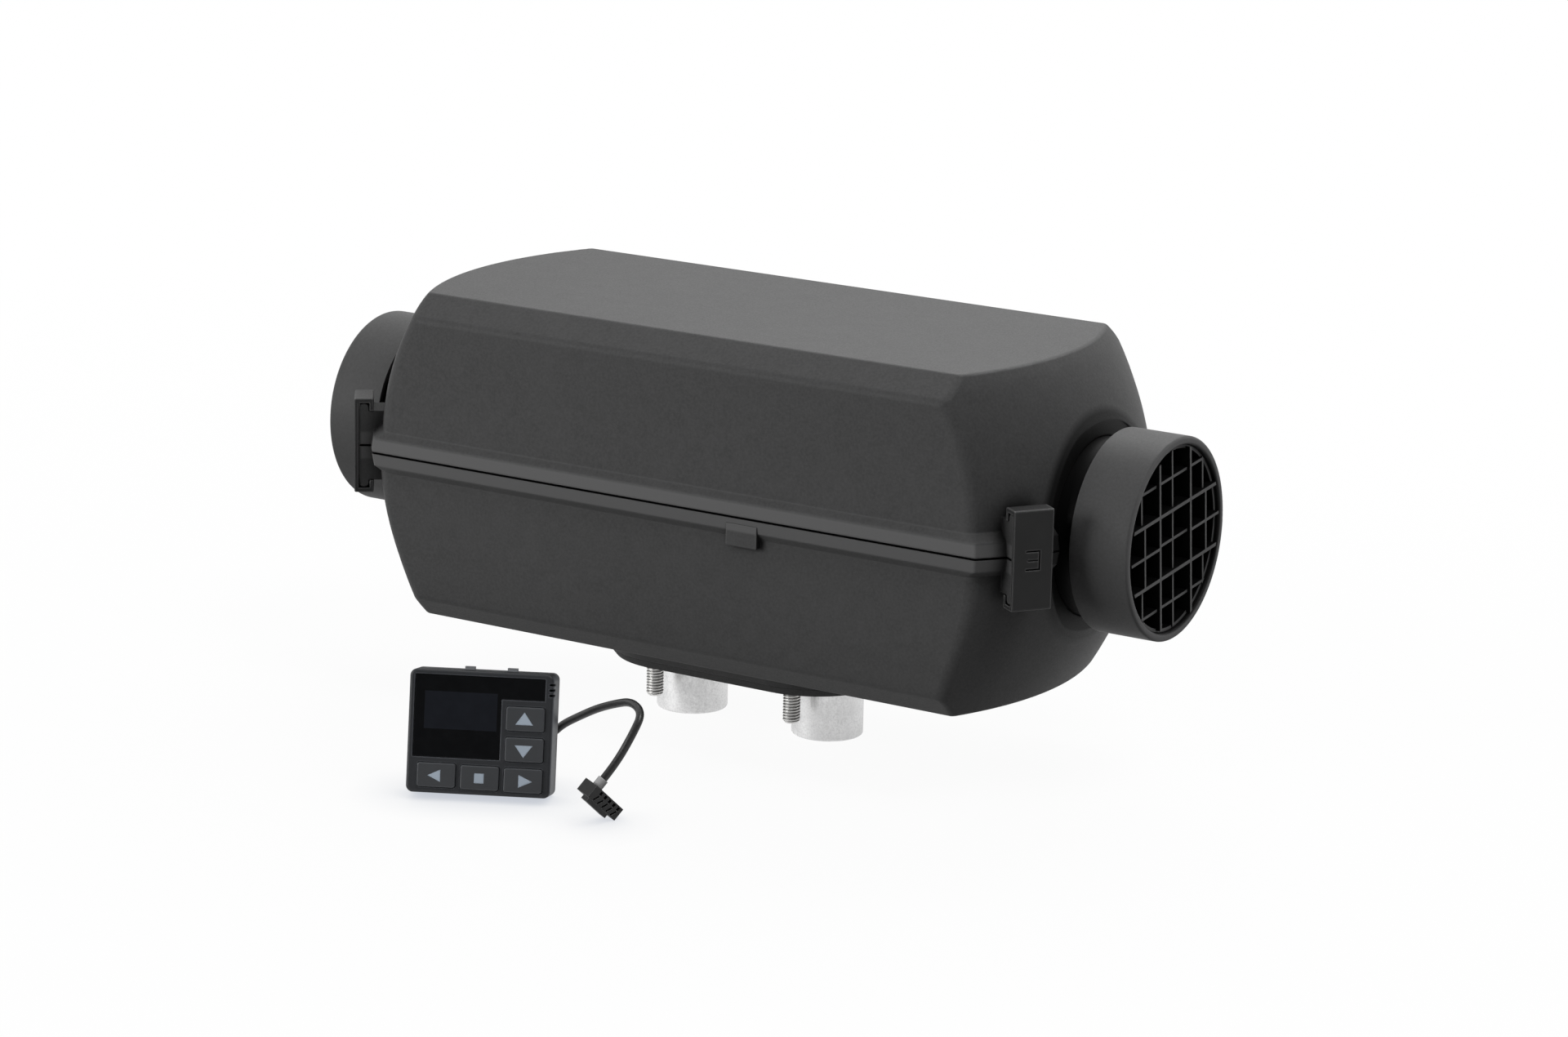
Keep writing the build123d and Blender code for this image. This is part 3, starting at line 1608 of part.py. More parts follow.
def build_controller_bezel():
    """Front shell of the panel: window opening, five button holes and edge vents."""
    with BuildPart() as controller_bezel:
        with BuildSketch(panel):
            panel_rectangle(0, panel_rounding)
        extrude(amount=-bezel_depth)
        front_face = controller_bezel.faces().sort_by(Axis(panel.origin, panel.z_dir))[-1]
        fillet(front_face.edges(), radius=panel_edge)
        with BuildSketch(behind(bezel_front)):
            panel_rectangle(bezel_wall, panel_rounding - bezel_wall / 2)
        extrude(amount=-bezel_depth, mode=Mode.SUBTRACT)
        extrude(window_outline(0, window_gap), amount=-bezel_front, mode=Mode.SUBTRACT)
        with BuildSketch(panel):
            with Locations(*button_places.values()):
                RectangleRounded(
                    button_width + 2 * button_gap,
                    button_height + 2 * button_gap,
                    button_rounding + button_gap,
                )
        extrude(amount=-bezel_front, mode=Mode.SUBTRACT)
        with BuildSketch(panel):
            vent_middle = panel_height - vent_top_margin - vent_pitch * (vent_count - 1) / 2
            with Locations((panel_width / 2, vent_middle)):
                with GridLocations(0, vent_pitch, 1, vent_count):
                    Rectangle(2 * vent_inset, vent_slot)
        extrude(amount=-vent_depth, mode=Mode.SUBTRACT)
        with BuildSketch(behind(back_floor)):
            with Locations((pry_slot_x, pry_slot_rise)):
                Rectangle(pry_slot_width, pry_slot_height)
        extrude(amount=-pry_slot_depth, mode=Mode.SUBTRACT)
    write(controller_bezel, "controller_bezel")


def build_controller_back_cover():
    """Rear shell with board posts, snap tabs on top and the cable hole."""
    shell_front = bezel_depth + back_gap
    floor_depth = panel_depth - back_floor
    board_back = board_front + board_thickness
    with BuildPart() as controller_back_cover:
        with BuildSketch(behind(shell_front)):
            panel_rectangle(0, panel_rounding)
        extrude(amount=shell_front - panel_depth)
        with BuildSketch(behind(bezel_depth)):
            panel_rectangle(back_wall, panel_rounding - back_wall / 2)
        extrude(amount=bezel_depth - floor_depth, mode=Mode.SUBTRACT)
        with BuildSketch(behind(board_back)):
            with board_screw_places():
                Circle(board_post_radius)
        extrude(amount=board_back - floor_depth - board_post_root)
        with BuildSketch(behind(board_back)):
            with board_screw_places():
                Circle(board_screw_radius + running_gap)
        extrude(amount=-board_post_bore, mode=Mode.SUBTRACT)
        with BuildSketch(behind(bezel_depth + snap_setback)):
            with Locations(*[(x, panel_height + snap_rise) for x in snap_places_x]):
                Rectangle(snap_width, snap_height)
        extrude(amount=-snap_length)
        with BuildSketch(behind(panel_depth)):
            with Locations(cable_exit):
                Circle(cable_radius + cable_hole_gap)
        extrude(amount=cable_hole_depth, mode=Mode.SUBTRACT)
    write(controller_back_cover, "controller_back_cover")


def board_screw_places():
    side = panel_width / 2 - board_screw_side_inset
    low, high = board_screw_end_inset, panel_height - board_screw_end_inset
    return Locations((-side, low), (-side, high), (side, low), (side, high))


def build_display_window():
    """L-shaped window pane with a thin rim behind the front shell."""
    rim_front = bezel_front + window_gap
    rim_back = rim_front + window_rim_thickness
    with BuildPart() as display_window:
        extrude(window_outline(rim_back, 0), amount=rim_back - window_recess)
        extrude(window_outline(rim_back, window_rim), amount=window_rim_thickness)
    write(display_window, "display_window")


def build_display_module():
    """Display block on the board, just behind the window."""
    back_of_window = bezel_front + window_gap + window_rim_thickness + display_gap
    middle = ((display_left + display_right) / 2, (display_bottom + display_top) / 2)
    with BuildPart() as display_module:
        with BuildSketch(behind(board_front)):
            with Locations(middle):
                Rectangle(
                    display_right - display_left + 2 * display_frame,
                    display_top - display_bottom + 2 * display_frame_low,
                )
        extrude(amount=board_front - back_of_window)
    write(display_module, "display_module")


def build_controller_board():
    """Circuit board behind the front shell, with its screw holes."""
    with BuildPart() as controller_board:
        with BuildSketch(behind(board_front)):
            panel_rectangle(bezel_wall + loose_gap, board_corner)
            with board_screw_places():
                Circle(board_screw_radius + running_gap, mode=Mode.SUBTRACT)
        extrude(amount=-board_thickness)
    write(controller_board, "controller_board")


def build_board_screws():
    """Four screws through the board into the rear shell's posts."""
    with BuildPart() as board_screws:
        with BuildSketch(behind(board_front)):
            with board_screw_places():
                Circle(board_screw_radius)
        extrude(amount=-board_screw_length)
        with BuildSketch(behind(board_front)):
            with board_screw_places():
                Circle(board_screw_head_radius)
        extrude(amount=board_screw_head)
    write(board_screws, "board_screws")


def build_button_switches():
    """Five key switches on the board, one behind each button."""
    plunger_end = bezel_front + window_gap + button_rim_thickness + plunger_length
    switch_height = board_front - plunger_end - button_travel
    with BuildPart() as button_switches:
        with BuildSketch(behind(board_front)):
            with Locations(*button_places.values()):
                Rectangle(switch_size, switch_size)
        extrude(amount=switch_height * switch_share)
        with BuildSketch(behind(board_front)):
            with Locations(*button_places.values()):
                Circle(switch_tip_radius)
        extrude(amount=switch_height - switch_tip_gap)
    write(button_switches, "button_switches")


def build_button(name):
    """Key cap with a rim behind the bezel and a plunger above its switch."""
    place = button_places[name]
    rim_depth = bezel_front + window_gap
    with BuildPart() as button:
        with BuildSketch(behind(rim_depth)):
            with Locations(place):
                RectangleRounded(button_width, button_height, button_rounding)
        extrude(amount=rim_depth + button_proud)
        cap = button.faces().sort_by(Axis(panel.origin, panel.z_dir))[-1]
        fillet(cap.edges(), radius=button_edge)
        with BuildSketch(behind(rim_depth)):
            with Locations(place):
                Rectangle(
                    button_width + 2 * (button_gap + button_rim),
                    button_height + 2 * (button_gap + button_rim_height),
                )
        extrude(amount=-button_rim_thickness)
        with BuildSketch(behind(rim_depth + button_rim_thickness)):
            with Locations(place):
                Circle(plunger_radius)
        extrude(amount=-plunger_length)
    write(button, name)


# ---------------------------------------------------------------------- control cable
cable_start = panel.from_local_coords((*cable_exit, -panel_depth))
cable_outward = -panel.z_dir


def build_cable_strain_relief():
    """Tapered sleeve on the panel's back, where the cable leaves it."""
    with BuildPart() as cable_strain_relief:
        with BuildSketch(behind(panel_depth)):
            with Locations(cable_exit):
                Circle(relief_radius)
        with BuildSketch(behind(panel_depth + relief_length)):
            with Locations(cable_exit):
                Circle(cable_radius + relief_tip_wall)
        loft()
    write(cable_strain_relief, "cable_strain_relief")


def cable_route():
    """Corners of the cable's axis, with the radius of the arc at each turn."""
    start = cable_start + cable_outward * relief_length
    corners = [start, start + cable_outward * cable_first_run]
    corners += [Vector(*point) for point in cable_points]
    sleeve_top = sleeve_plane()
    corners.append(sleeve_top.origin - sleeve_top.z_dir * cable_last_run)
    corners.append(sleeve_top.origin)
    radii = []
    for before, corner, after in zip(corners, corners[1:], corners[2:]):
        incoming, outgoing = corner - before, after - corner
        run = min(incoming.length, outgoing.length)
        turn = incoming.get_angle(outgoing)
        radii.append(cable_arc_share * run / tan(radians(turn) / 2))
    return corners, radii


def build_controller_cable():
    """Cable swept along its route, with its radii, length and fill printed."""
    corners, radii = cable_route()
    print("cable arc radii:", [round(radius, 1) for radius in radii])
    with BuildPart() as controller_cable:
        with BuildLine() as route:
            FilletPolyline(*corners, radius=radii)
        with BuildSketch(Plane(route.line @ 0, z_dir=route.line % 0)):
            Circle(cable_radius)
        sweep()
    length = sum(edge.length for edge in route.edges())
    section = pi * cable_radius**2
    print("cable length:", round(length, 1))
    print("cable fill:", round(controller_cable.part.volume / (section * length), 4))
    write(controller_cable, "controller_cable")


def connector_plane():
    """Plane on the housing's slotted face, its own x down the row of ways."""
    face = Plane(
        origin=(connector_x, connector_y, floor_height + connector_rise),
        x_dir=connector_along,
        z_dir=connector_along.cross(connector_upward),
    )
    corner = Vector(-connector_length / 2, connector_width / 2, 0)
    return Plane(
        origin=face.from_local_coords(corner), x_dir=face.x_dir, z_dir=face.z_dir
    )


def sleeve_plane():
    """Plane on the upper end of the sleeve, where the cable ends square to it."""
    face = connector_plane()
    place = Vector(sleeve_place, connector_width / 2 + sleeve_length, -sleeve_depth)
    return Plane(origin=face.from_local_coords(place), z_dir=face.y_dir * -1)


def build_cable_sleeve():
    """Shrink sleeve over the cable's end, down to the connector."""
    with BuildPart() as cable_sleeve:
        with BuildSketch(sleeve_plane()):
            Circle(sleeve_radius)
        extrude(amount=sleeve_length)
    write(cable_sleeve, "cable_sleeve")


def build_connector_housing():
    """Five-way housing with latch windows and contact slots on its face."""
    face = connector_plane()
    with BuildPart() as connector_housing:
        with BuildSketch(face):
            Rectangle(connector_length, connector_width)
        extrude(amount=-connector_thickness)
        with BuildSketch(face):
            with Locations((connector_row_shift, connector_window_rise)):
                with GridLocations(connector_pitch, 0, connector_ways, 1):
                    Rectangle(connector_window_width, connector_window_height)
        extrude(amount=-connector_window_depth, mode=Mode.SUBTRACT)
        with BuildSketch(face):
            with Locations((contact_slot_shift, -contact_slot_drop)):
                with GridLocations(connector_pitch, 0, connector_ways, 1):
                    Rectangle(
                        contact_slot_width,
                        contact_slot_height,
                        rotation=-contact_slot_lean,
                    )
        extrude(amount=-contact_slot_depth, mode=Mode.SUBTRACT)
    write(connector_housing, "connector_housing")


def build_connector_latch():
    """Dark bar along the mating side of the housing."""
    face = connector_plane()
    start = -connector_length / 2 + latch_bar_length / 2
    with BuildPart() as connector_latch:
        with BuildSketch(face.offset(latch_bar_proud)):
            with Locations((start, -(connector_width + latch_bar_height) / 2)):
                Rectangle(latch_bar_length, latch_bar_height)
        extrude(amount=-latch_bar_thickness)
    write(connector_latch, "connector_latch")


# ------------------------------------------------------------------------------ build
def main():
    build_upper_casing()
    build_lower_casing()
    build_cable_grommet()
    build_collar(-1, "outlet_collar")
    build_collar(1, "inlet_collar")
    build_inlet_grille()
    for end, end_name in ((-1, "outlet"), (1, "inlet")):
        for front, side_name in ((-1, "front"), (1, "rear")):
            build_clip(end, front, f"{side_name}_{end_name}_clip")
    build_base_gasket()
    build_mounting_flange()
    build_stub(exhaust_x, "exhaust_stub")
    build_stub(intake_x, "combustion_air_stub")
    build_mounting_studs()
    build_fuel_inlet_pipe()
    build_foot_screws()
    build_heat_exchanger()
    build_combustion_chamber()
    build_glow_plug()
    build_flame_sensor()
    build_overheat_sensor()
    build_blower_gasket()
    build_blower_housing()
    build_blower_screws()
    build_blower_motor()
    build_motor_shaft()
    build_combustion_impeller()
    build_heating_fan()
    build_fan_nut()
    build_control_unit()
    build_controller_bezel()
    build_controller_back_cover()
    build_display_window()
    build_display_module()
    build_controller_board()
    build_board_screws()
    build_button_switches()
    for name in button_places:
        build_button(name)
    build_cable_strain_relief()
    build_controller_cable()
    build_cable_sleeve()
    build_connector_housing()
    build_connector_latch()


main()
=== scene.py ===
"""Looks of the diesel air heater and its control panel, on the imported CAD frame."""
import json
import math

import bmesh
import bpy
from mathutils import Matrix, Vector


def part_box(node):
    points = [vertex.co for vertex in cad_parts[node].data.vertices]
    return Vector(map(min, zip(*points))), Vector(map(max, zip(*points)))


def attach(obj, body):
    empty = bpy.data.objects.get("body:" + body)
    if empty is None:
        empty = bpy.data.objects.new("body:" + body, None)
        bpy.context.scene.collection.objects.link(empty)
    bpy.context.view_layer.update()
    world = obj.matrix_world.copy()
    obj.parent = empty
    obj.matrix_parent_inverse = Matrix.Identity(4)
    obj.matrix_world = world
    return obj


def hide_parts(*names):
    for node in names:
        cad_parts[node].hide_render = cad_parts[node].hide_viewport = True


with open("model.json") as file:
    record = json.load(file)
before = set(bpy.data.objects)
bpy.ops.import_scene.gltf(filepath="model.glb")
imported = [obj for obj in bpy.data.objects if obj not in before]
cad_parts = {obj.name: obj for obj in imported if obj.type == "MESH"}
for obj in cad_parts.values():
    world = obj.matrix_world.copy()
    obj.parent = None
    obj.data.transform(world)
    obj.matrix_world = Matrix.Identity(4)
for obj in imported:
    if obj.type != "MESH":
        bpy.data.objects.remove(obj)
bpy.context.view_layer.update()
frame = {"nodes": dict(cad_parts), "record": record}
nodes = frame["nodes"]
scene = bpy.context.scene
MM = 0.001
AXIS_HEIGHT = sum(corner.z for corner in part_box("outlet_collar")) / 2
FLOOR_Z = -0.02


def front_direction(turn, tilt):
    """The way to the front, (0, -1, 0), turned to the right and tilted up."""
    return Vector(
        (
            math.sin(turn) * math.cos(tilt),
            -math.cos(turn) * math.cos(tilt),
            math.sin(tilt),
        )
    )


def right_direction(turn):
    """The level way that is right for a viewer on the side of front_direction."""
    return Vector((math.cos(turn), math.sin(turn), 0))


# ------------------------------------------------------------------ camera
CAMERA_PLACE = (0.80857, -1.29252, 0.44352)
CAMERA_TURN = math.radians(31.7358)
CAMERA_TILT = math.radians(14.4960)
CAMERA_ROLL = math.radians(1.2432)
CAMERA_LENS = 108.42
CAMERA_SENSOR = 36.0


def place_camera():
    """The view that was solved from the casing's corners and collars in the photo."""
    back = front_direction(CAMERA_TURN, CAMERA_TILT)
    right = right_direction(CAMERA_TURN)
    up = back.cross(right)
    rolled_right = math.cos(CAMERA_ROLL) * right + math.sin(CAMERA_ROLL) * up
    rolled_up = -math.sin(CAMERA_ROLL) * right + math.cos(CAMERA_ROLL) * up
    data = bpy.data.cameras.new("view_camera")
    data.lens = CAMERA_LENS
    data.sensor_width = CAMERA_SENSOR
    data.sensor_fit = "HORIZONTAL"
    data.clip_start = 0.05
    data.clip_end = 20.0
    camera = bpy.data.objects.new("view_camera", data)
    scene.collection.objects.link(camera)
    axes = Matrix((rolled_right, rolled_up, back)).transposed()
    camera.matrix_world = Matrix.Translation(CAMERA_PLACE) @ axes.to_4x4()
    scene.camera = camera


place_camera()


# --------------------------------------------------------------- node trees
SINGLE_VALUED = ("DOT_PRODUCT", "LENGTH", "DISTANCE")
NEUTRAL = (1.0, 1.0, 1.0)


def grey(level, tint=NEUTRAL):
    return tuple(level * part for part in tint)


class Tree:
    """A node tree, with short calls for the nodes that looks, floor and world share."""

    def __init__(self, tree):
        self.tree = tree

    def feed(self, socket, value):
        """Joins an output to a socket, or gives the socket a plain value or colour."""
        if isinstance(value, bpy.types.NodeSocket):
            self.tree.links.new(value, socket)
        elif socket.type == "RGBA":
            socket.default_value = (*value, 1.0)
        else:
            socket.default_value = value

    def node(self, kind, inputs=None, **settings):
        """A new node with these settings, its inputs fed by name or by number."""
        made = self.tree.nodes.new(kind)
        for key, value in settings.items():
            setattr(made, key, value)
        for key, value in (inputs or {}).items():
            self.feed(made.inputs[key], value)
        return made

    def number_math(self, operation, *terms):
        inputs = dict(enumerate(terms))
        return self.node("ShaderNodeMath", inputs, operation=operation).outputs["Value"]

    def vector_math(self, operation, *terms):
        inputs = dict(enumerate(terms))
        made = self.node("ShaderNodeVectorMath", inputs, operation=operation)
        return made.outputs["Value" if operation in SINGLE_VALUED else "Vector"]

    def spread(self, factor, low, high, start=0.3, end=0.7):
        """A factor's range from start to end, spread over low to high."""
        limits = {"From Min": start, "From Max": end, "To Min": low, "To Max": high}
        return self.node("ShaderNodeMapRange", {"Value": factor, **limits}).outputs["Result"]

    def mix(self, factor, first, second):
        """Two colours, in a Mix node's colour sockets, which are inputs 6 and 7 and output 2."""
        inputs = {"Factor": factor, 6: first, 7: second}
        return self.node("ShaderNodeMix", inputs, data_type="RGBA").outputs[2]

    def plain_shader(self, kind, colour):
        """A shader that is told its colour alone, and has strength 1 where it glows."""
        return self.node(kind, {"Color": colour}).outputs[0]

    def mix_shaders(self, factor, first, second):
        inputs = {0: factor, 1: first, 2: second}
        return self.node("ShaderNodeMixShader", inputs).outputs["Shader"]

    def openness(self, reach, samples):
        """1 on an open face, and less as other faces stand within reach."""
        made = self.node("ShaderNodeAmbientOcclusion", {"Distance": reach}, samples=samples)
        return made.outputs["AO"]


# --------------------------------------------------------------- materials
SHADE = grey(0.006)
DEEP_SHADE = grey(0.003)


class Look(Tree):
    """A material with a Principled shader, and calls for grain, wear and shade."""

    def __init__(self, name, roughness, metallic=0.0, specular=None):
        self.material = bpy.data.materials.new(name)
        self.material.use_nodes = True
        super().__init__(self.material.node_tree)
        self.shader = self.tree.nodes["Principled BSDF"]
        self.give("Roughness", roughness)
        self.give("Metallic", metallic)
        if specular is not None:
            self.give("Specular IOR Level", specular)
        self.place = self.node("ShaderNodeTexCoord").outputs["Object"]

    def give(self, name, value):
        """Feeds an input of the shader."""
        self.feed(self.shader.inputs[name], value)

    def noise(self, scale, detail=2.0, roughness=0.5, stretch=None):
        place = self.place
        if stretch:
            mapping = self.node("ShaderNodeMapping", {"Vector": place, "Scale": stretch})
            place = mapping.outputs["Vector"]
        inputs = {"Vector": place, "Scale": scale, "Detail": detail, "Roughness": roughness}
        return self.node("ShaderNodeTexNoise", inputs).outputs["Fac"]

    def ramp(self, factor, stops):
        made = self.node("ShaderNodeValToRGB", {"Fac": factor})
        elements = made.color_ramp.elements
        while len(elements) < len(stops):
            elements.new(0.5)
        for element, (position, colour) in zip(elements, stops):
            element.position = position
            element.color = (*colour, 1.0)
        return made.outputs["Color"]

    def between(self, factor, dark, light):
        """Two colours over the middle of a noise's range."""
        return self.ramp(factor, [(0.3, dark), (0.7, light)])

    def mottled(self, factor, level, under, over, tint=NEUTRAL):
        """A grey that wanders from under to over times its level."""
        return self.between(factor, grey(level * under, tint), grey(level * over, tint))

    def flat_normal(self):
        return self.node("ShaderNodeNewGeometry").outputs["Normal"]

    def soft_normal(self, radius):
        """The normal, rounded over sharp edges."""
        return self.node("ShaderNodeBevel", {"Radius": radius}, samples=4).outputs["Normal"]

    def edge_mask(self, radius):
        """1 on sharp edges, 0 on flat faces."""
        kept = self.vector_math("DOT_PRODUCT", self.soft_normal(radius), self.flat_normal())
        return self.spread(kept, 1.0, 0.0, start=0.88, end=0.995)

    def crevice(self, reach, shut, clear):
        """1 in a corner, where the openness is under shut, and 0 where it is over clear."""
        return self.spread(self.openness(reach, samples=6), 1.0, 0.0, shut, clear)

    def facing(self, axis):
        """1 on faces that look along an axis, 0 on the others."""
        along = self.vector_math("DOT_PRODUCT", self.flat_normal(), axis)
        return self.spread(along, 0.0, 1.0, start=0.55, end=0.9)

    def off_axis(self):
        """The distance from the duct's axis."""
        place = self.vector_math("SUBTRACT", self.place, (0.0, 0.0, AXIS_HEIGHT))
        across = self.vector_math("MULTIPLY", place, (0.0, 1.0, 1.0))
        return self.vector_math("LENGTH", across)

    def level_band(self, height, half, softness):
        """1 within a level band round a height, 0 above and below it."""
        place = self.node("ShaderNodeSeparateXYZ", {"Vector": self.place})
        away = self.number_math("SUBTRACT", place.outputs["Z"], height)
        size = self.number_math("ABSOLUTE", away)
        return self.spread(size, 1.0, 0.0, half, half + softness)

    def skin(self, grain, smooth, rough, strength, depth, edge=None):
        """The grain's roughness and bump, over edges softened to a radius."""
        self.give("Roughness", self.spread(grain, smooth, rough))
        inputs = {"Strength": strength, "Distance": depth, "Height": grain}
        if edge:
            inputs["Normal"] = self.soft_normal(edge)
        self.give("Normal", self.node("ShaderNodeBump", inputs).outputs["Normal"])


def moulded(name, level, rough=0.5, grain=2600.0, depth=0.04 * MM, tint=NEUTRAL,
            edge=0.5 * MM, edge_wear_and_highlight=1.5, mottle=0.1, specular=0.3, side=None, shade=None):
    """Moulded plastic: fine grain, faint mottling and softened edges painted slightly lighter,
    partly as wear and partly as a painted highlight.

    side is an axis and a lighter level painted on the faces along it as light falling on that
    side, and shade the reach of the painted shade in corners.
    """
    look = Look(name, rough, specular=specular)
    broad = look.noise(scale=28.0, detail=3.0, roughness=0.6)
    fine = look.noise(grain, roughness=0.6)
    body = look.mottled(broad, level, 1 - mottle, 1 + mottle, tint)
    # painted light: faces along the side's axis get a lighter level, as if lit from that side
    if side:
        axis, lit_side_level = side
        body = look.mix(look.facing(axis), body, grey(lit_side_level, tint))
    # edges paler, partly wear and partly a painted highlight
    worn_and_highlighted = look.mix(look.edge_mask(edge * 1.6), body, grey(level * edge_wear_and_highlight, tint))
    # painted shade: corners darkened where other faces stand within reach
    if shade:
        worn_and_highlighted = look.mix(look.crevice(shade, shut=0.45, clear=0.95), worn_and_highlighted, DEEP_SHADE)
    look.give("Base Color", worn_and_highlighted)
    look.skin(fine, rough - 0.06, rough + 0.08, strength=0.35, depth=depth, edge=edge)
    return look


def grille_look():
    """Dark moulded bars, with painted light on the fronts that look out of the duct and painted
    shade, near black, on their other faces.
    """
    look = Look("grille_plastic", 0.45, specular=0.1)
    fine = look.noise(scale=2400.0, roughness=0.6)
    broad = look.noise(scale=60.0, detail=3.0, roughness=0.6)
    painted_lit_fronts = look.mottled(broad, 0.12, under=0.88, over=1.1)
    dark = look.mottled(broad, 0.003, under=0.85, over=1.15)
    # painted light: fronts facing out of the duct are paler; painted shade: the other faces are
    # near black
    look.give("Base Color", look.mix(look.facing((1.0, 0.0, 0.0)), dark, painted_lit_fronts))
    look.skin(fine, smooth=0.39, rough=0.53, strength=0.35, depth=0.02 * MM, edge=0.3 * MM)
    return look


def collar_look():
    """Moulded collar: gritty outside, faces looking out of the duct painted paler as painted
    light, edges paler partly from wear and partly as painted highlight, painted shade in
    corners, and a bore painted black as shade.
    """
    level = 0.08
    bore_radius = 30.4 * MM
    look = Look("collar_plastic", 0.5, specular=0.1)
    outside = look.spread(look.off_axis(), 0.0, 1.0, bore_radius, bore_radius + 0.6 * MM)
    broad = look.noise(scale=30.0, detail=3.0, roughness=0.6)
    grit = look.noise(scale=1100.0, roughness=0.6)
    fine = look.noise(scale=2000.0, roughness=0.6)
    body = look.mottled(broad, level, under=0.92, over=1.08)
    skin = look.mix(look.spread(grit, 0.0, 0.4), body, grey(level * 1.35))
    # painted light: faces looking out of the duct are paler, as if lit from that way
    rim = look.mix(look.facing((1.0, 0.0, 0.0)), skin, grey(level * 1.8))
    # edges paler, partly wear and partly a painted highlight
    worn_and_highlighted = look.mix(look.edge_mask(0.8 * MM), rim, grey(level * 1.6))
    # painted shade: darker in corners
    shaded = look.mix(look.crevice(12 * MM, shut=0.3, clear=0.8), worn_and_highlighted, SHADE)
    # painted shade: inside bore_radius the bore is painted near black
    look.give("Base Color", look.mix(outside, grey(0.004), shaded))
    look.skin(fine, smooth=0.44, rough=0.58, strength=0.35, depth=0.03 * MM, edge=0.6 * MM)
    return look


def cast_metal(name, level, rough=0.4, grain=900.0, depth=0.08 * MM, pitted=0.0):
    """Cast aluminium: granular skin, with darker pits where it is coarse."""
    look = Look(name, rough, metallic=1.0)
    broad = look.noise(scale=60.0, detail=4.0, roughness=0.6)
    fine = look.noise(grain, detail=3.0, roughness=0.6)
    body = look.mottled(broad, level, under=0.86, over=1.14)
    if pitted:
        grit = look.noise(scale=1500.0, roughness=0.7)
        pit = look.spread(grit, 1.0, 0.0, start=0.32, end=0.58)
        body = look.mix(pit, body, grey(level * (1 - pitted)))
    look.give("Base Color", body)
    look.skin(fine, rough - 0.1, rough + 0.12, strength=0.4, depth=depth, edge=0.5 * MM)
    return look


def turned_steel(name, level, rough=0.28, rings_per_metre=2500, groove=None):
    """Machined steel with fine rings round an upright axis.

    Grooves get painted shade where their sides stand within the reach that groove gives.
    """
    tint = (1.0, 0.99, 0.97)
    look = Look(name, rough, metallic=1.0)
    stretch = (60, 60, rings_per_metre)
    rings = look.noise(scale=1.0, detail=3.0, roughness=0.6, stretch=stretch)
    broad = look.noise(scale=90.0, detail=3.0, roughness=0.6)
    body = look.mottled(broad, level, under=0.85, over=1.1, tint=tint)
    # painted shade in the grooves
    if groove:
        groove_painted_shade = look.crevice(groove, shut=0.45, clear=0.9)
        body = look.mix(groove_painted_shade, body, grey(level * 0.3, tint))
    look.give("Base Color", body)
    look.skin(rings, rough - 0.08, rough + 0.12, strength=0.2, depth=0.02 * MM, edge=0.3 * MM)
    return look


def rubber(name, level, rough=0.7, depth=0.04 * MM):
    """Dull rubber, or a cable's jacket where it is smoother."""
    look = Look(name, rough)
    fine = look.noise(scale=1800.0, roughness=0.6)
    broad = look.noise(scale=50.0, detail=3.0, roughness=0.6)
    look.give("Base Color", look.mottled(broad, level, under=0.8, over=1.2))
    look.skin(fine, rough - 0.08, rough + 0.08, strength=0.3, depth=depth, edge=0.4 * MM)
    return look


def casing_look():
    """Matte dark casing: spark-eroded grain, a band painted paler as painted light, edges paler
    partly from wear and partly as painted highlight, and painted shade in corners and round the
    necks.
    """
    look = Look("casing_plastic", 0.55, specular=0.15)
    broad = look.noise(scale=14.0, detail=3.0, roughness=0.55)
    cloud = look.noise(scale=160.0, detail=3.0, roughness=0.6)
    grit = look.noise(scale=1100.0, roughness=0.6)
    fine = look.noise(scale=2300.0, roughness=0.65)
    body = look.between(broad, grey(0.061), grey(0.069))
    clouded = look.mix(look.spread(cloud, 0.0, 0.5), body, grey(0.046))
    specked = look.mix(look.spread(grit, 0.0, 0.5), clouded, grey(0.09))
    # painted light: a level band round the axis height is painted paler
    band = look.level_band(AXIS_HEIGHT, half=4.2 * MM, softness=0.8 * MM)
    band_painted_light = look.mix(band, specked, grey(0.125))
    # edges paler, partly wear and partly a painted highlight
    worn_and_highlighted = look.mix(look.edge_mask(1.2 * MM), band_painted_light, grey(0.11))
    # painted shade: darker in corners, and darker still in tight corners
    shaded = look.mix(look.crevice(30 * MM, shut=0.25, clear=0.9), worn_and_highlighted, SHADE)
    deeper_painted_shade = look.mix(look.crevice(12 * MM, shut=0.4, clear=0.85), shaded, DEEP_SHADE)
    # painted shade: darker round the necks, near the duct's axis
    neck_painted_shade = look.spread(look.off_axis(), 1.0, 0.0, start=36.5 * MM, end=39 * MM)
    look.give("Base Color", look.mix(neck_painted_shade, deeper_painted_shade, SHADE))
    look.skin(fine, smooth=0.48, rough=0.62, strength=0.4, depth=0.05 * MM, edge=0.7 * MM)
    return look


def burner_look():
    """Heat-tinted sheet steel, blue-grey to straw to plain along the duct."""
    look = Look("heat_tinted_steel", 0.4, metallic=1.0)
    place = look.node("ShaderNodeSeparateXYZ", {"Vector": look.place})
    along = look.spread(place.outputs["X"], 0.0, 1.0, start=-55 * MM, end=20 * MM)
    blue_grey, straw, plain = (0.2, 0.2, 0.26), (0.42, 0.3, 0.22), (0.5, 0.48, 0.45)
    look.give("Base Color", look.ramp(along, [(0.0, blue_grey), (0.4, straw), (1.0, plain)]))
    fine = look.noise(scale=700.0, detail=3.0, roughness=0.6)
    look.skin(fine, smooth=0.32, rough=0.52, strength=0.3, depth=0.04 * MM, edge=0.4 * MM)
    return look


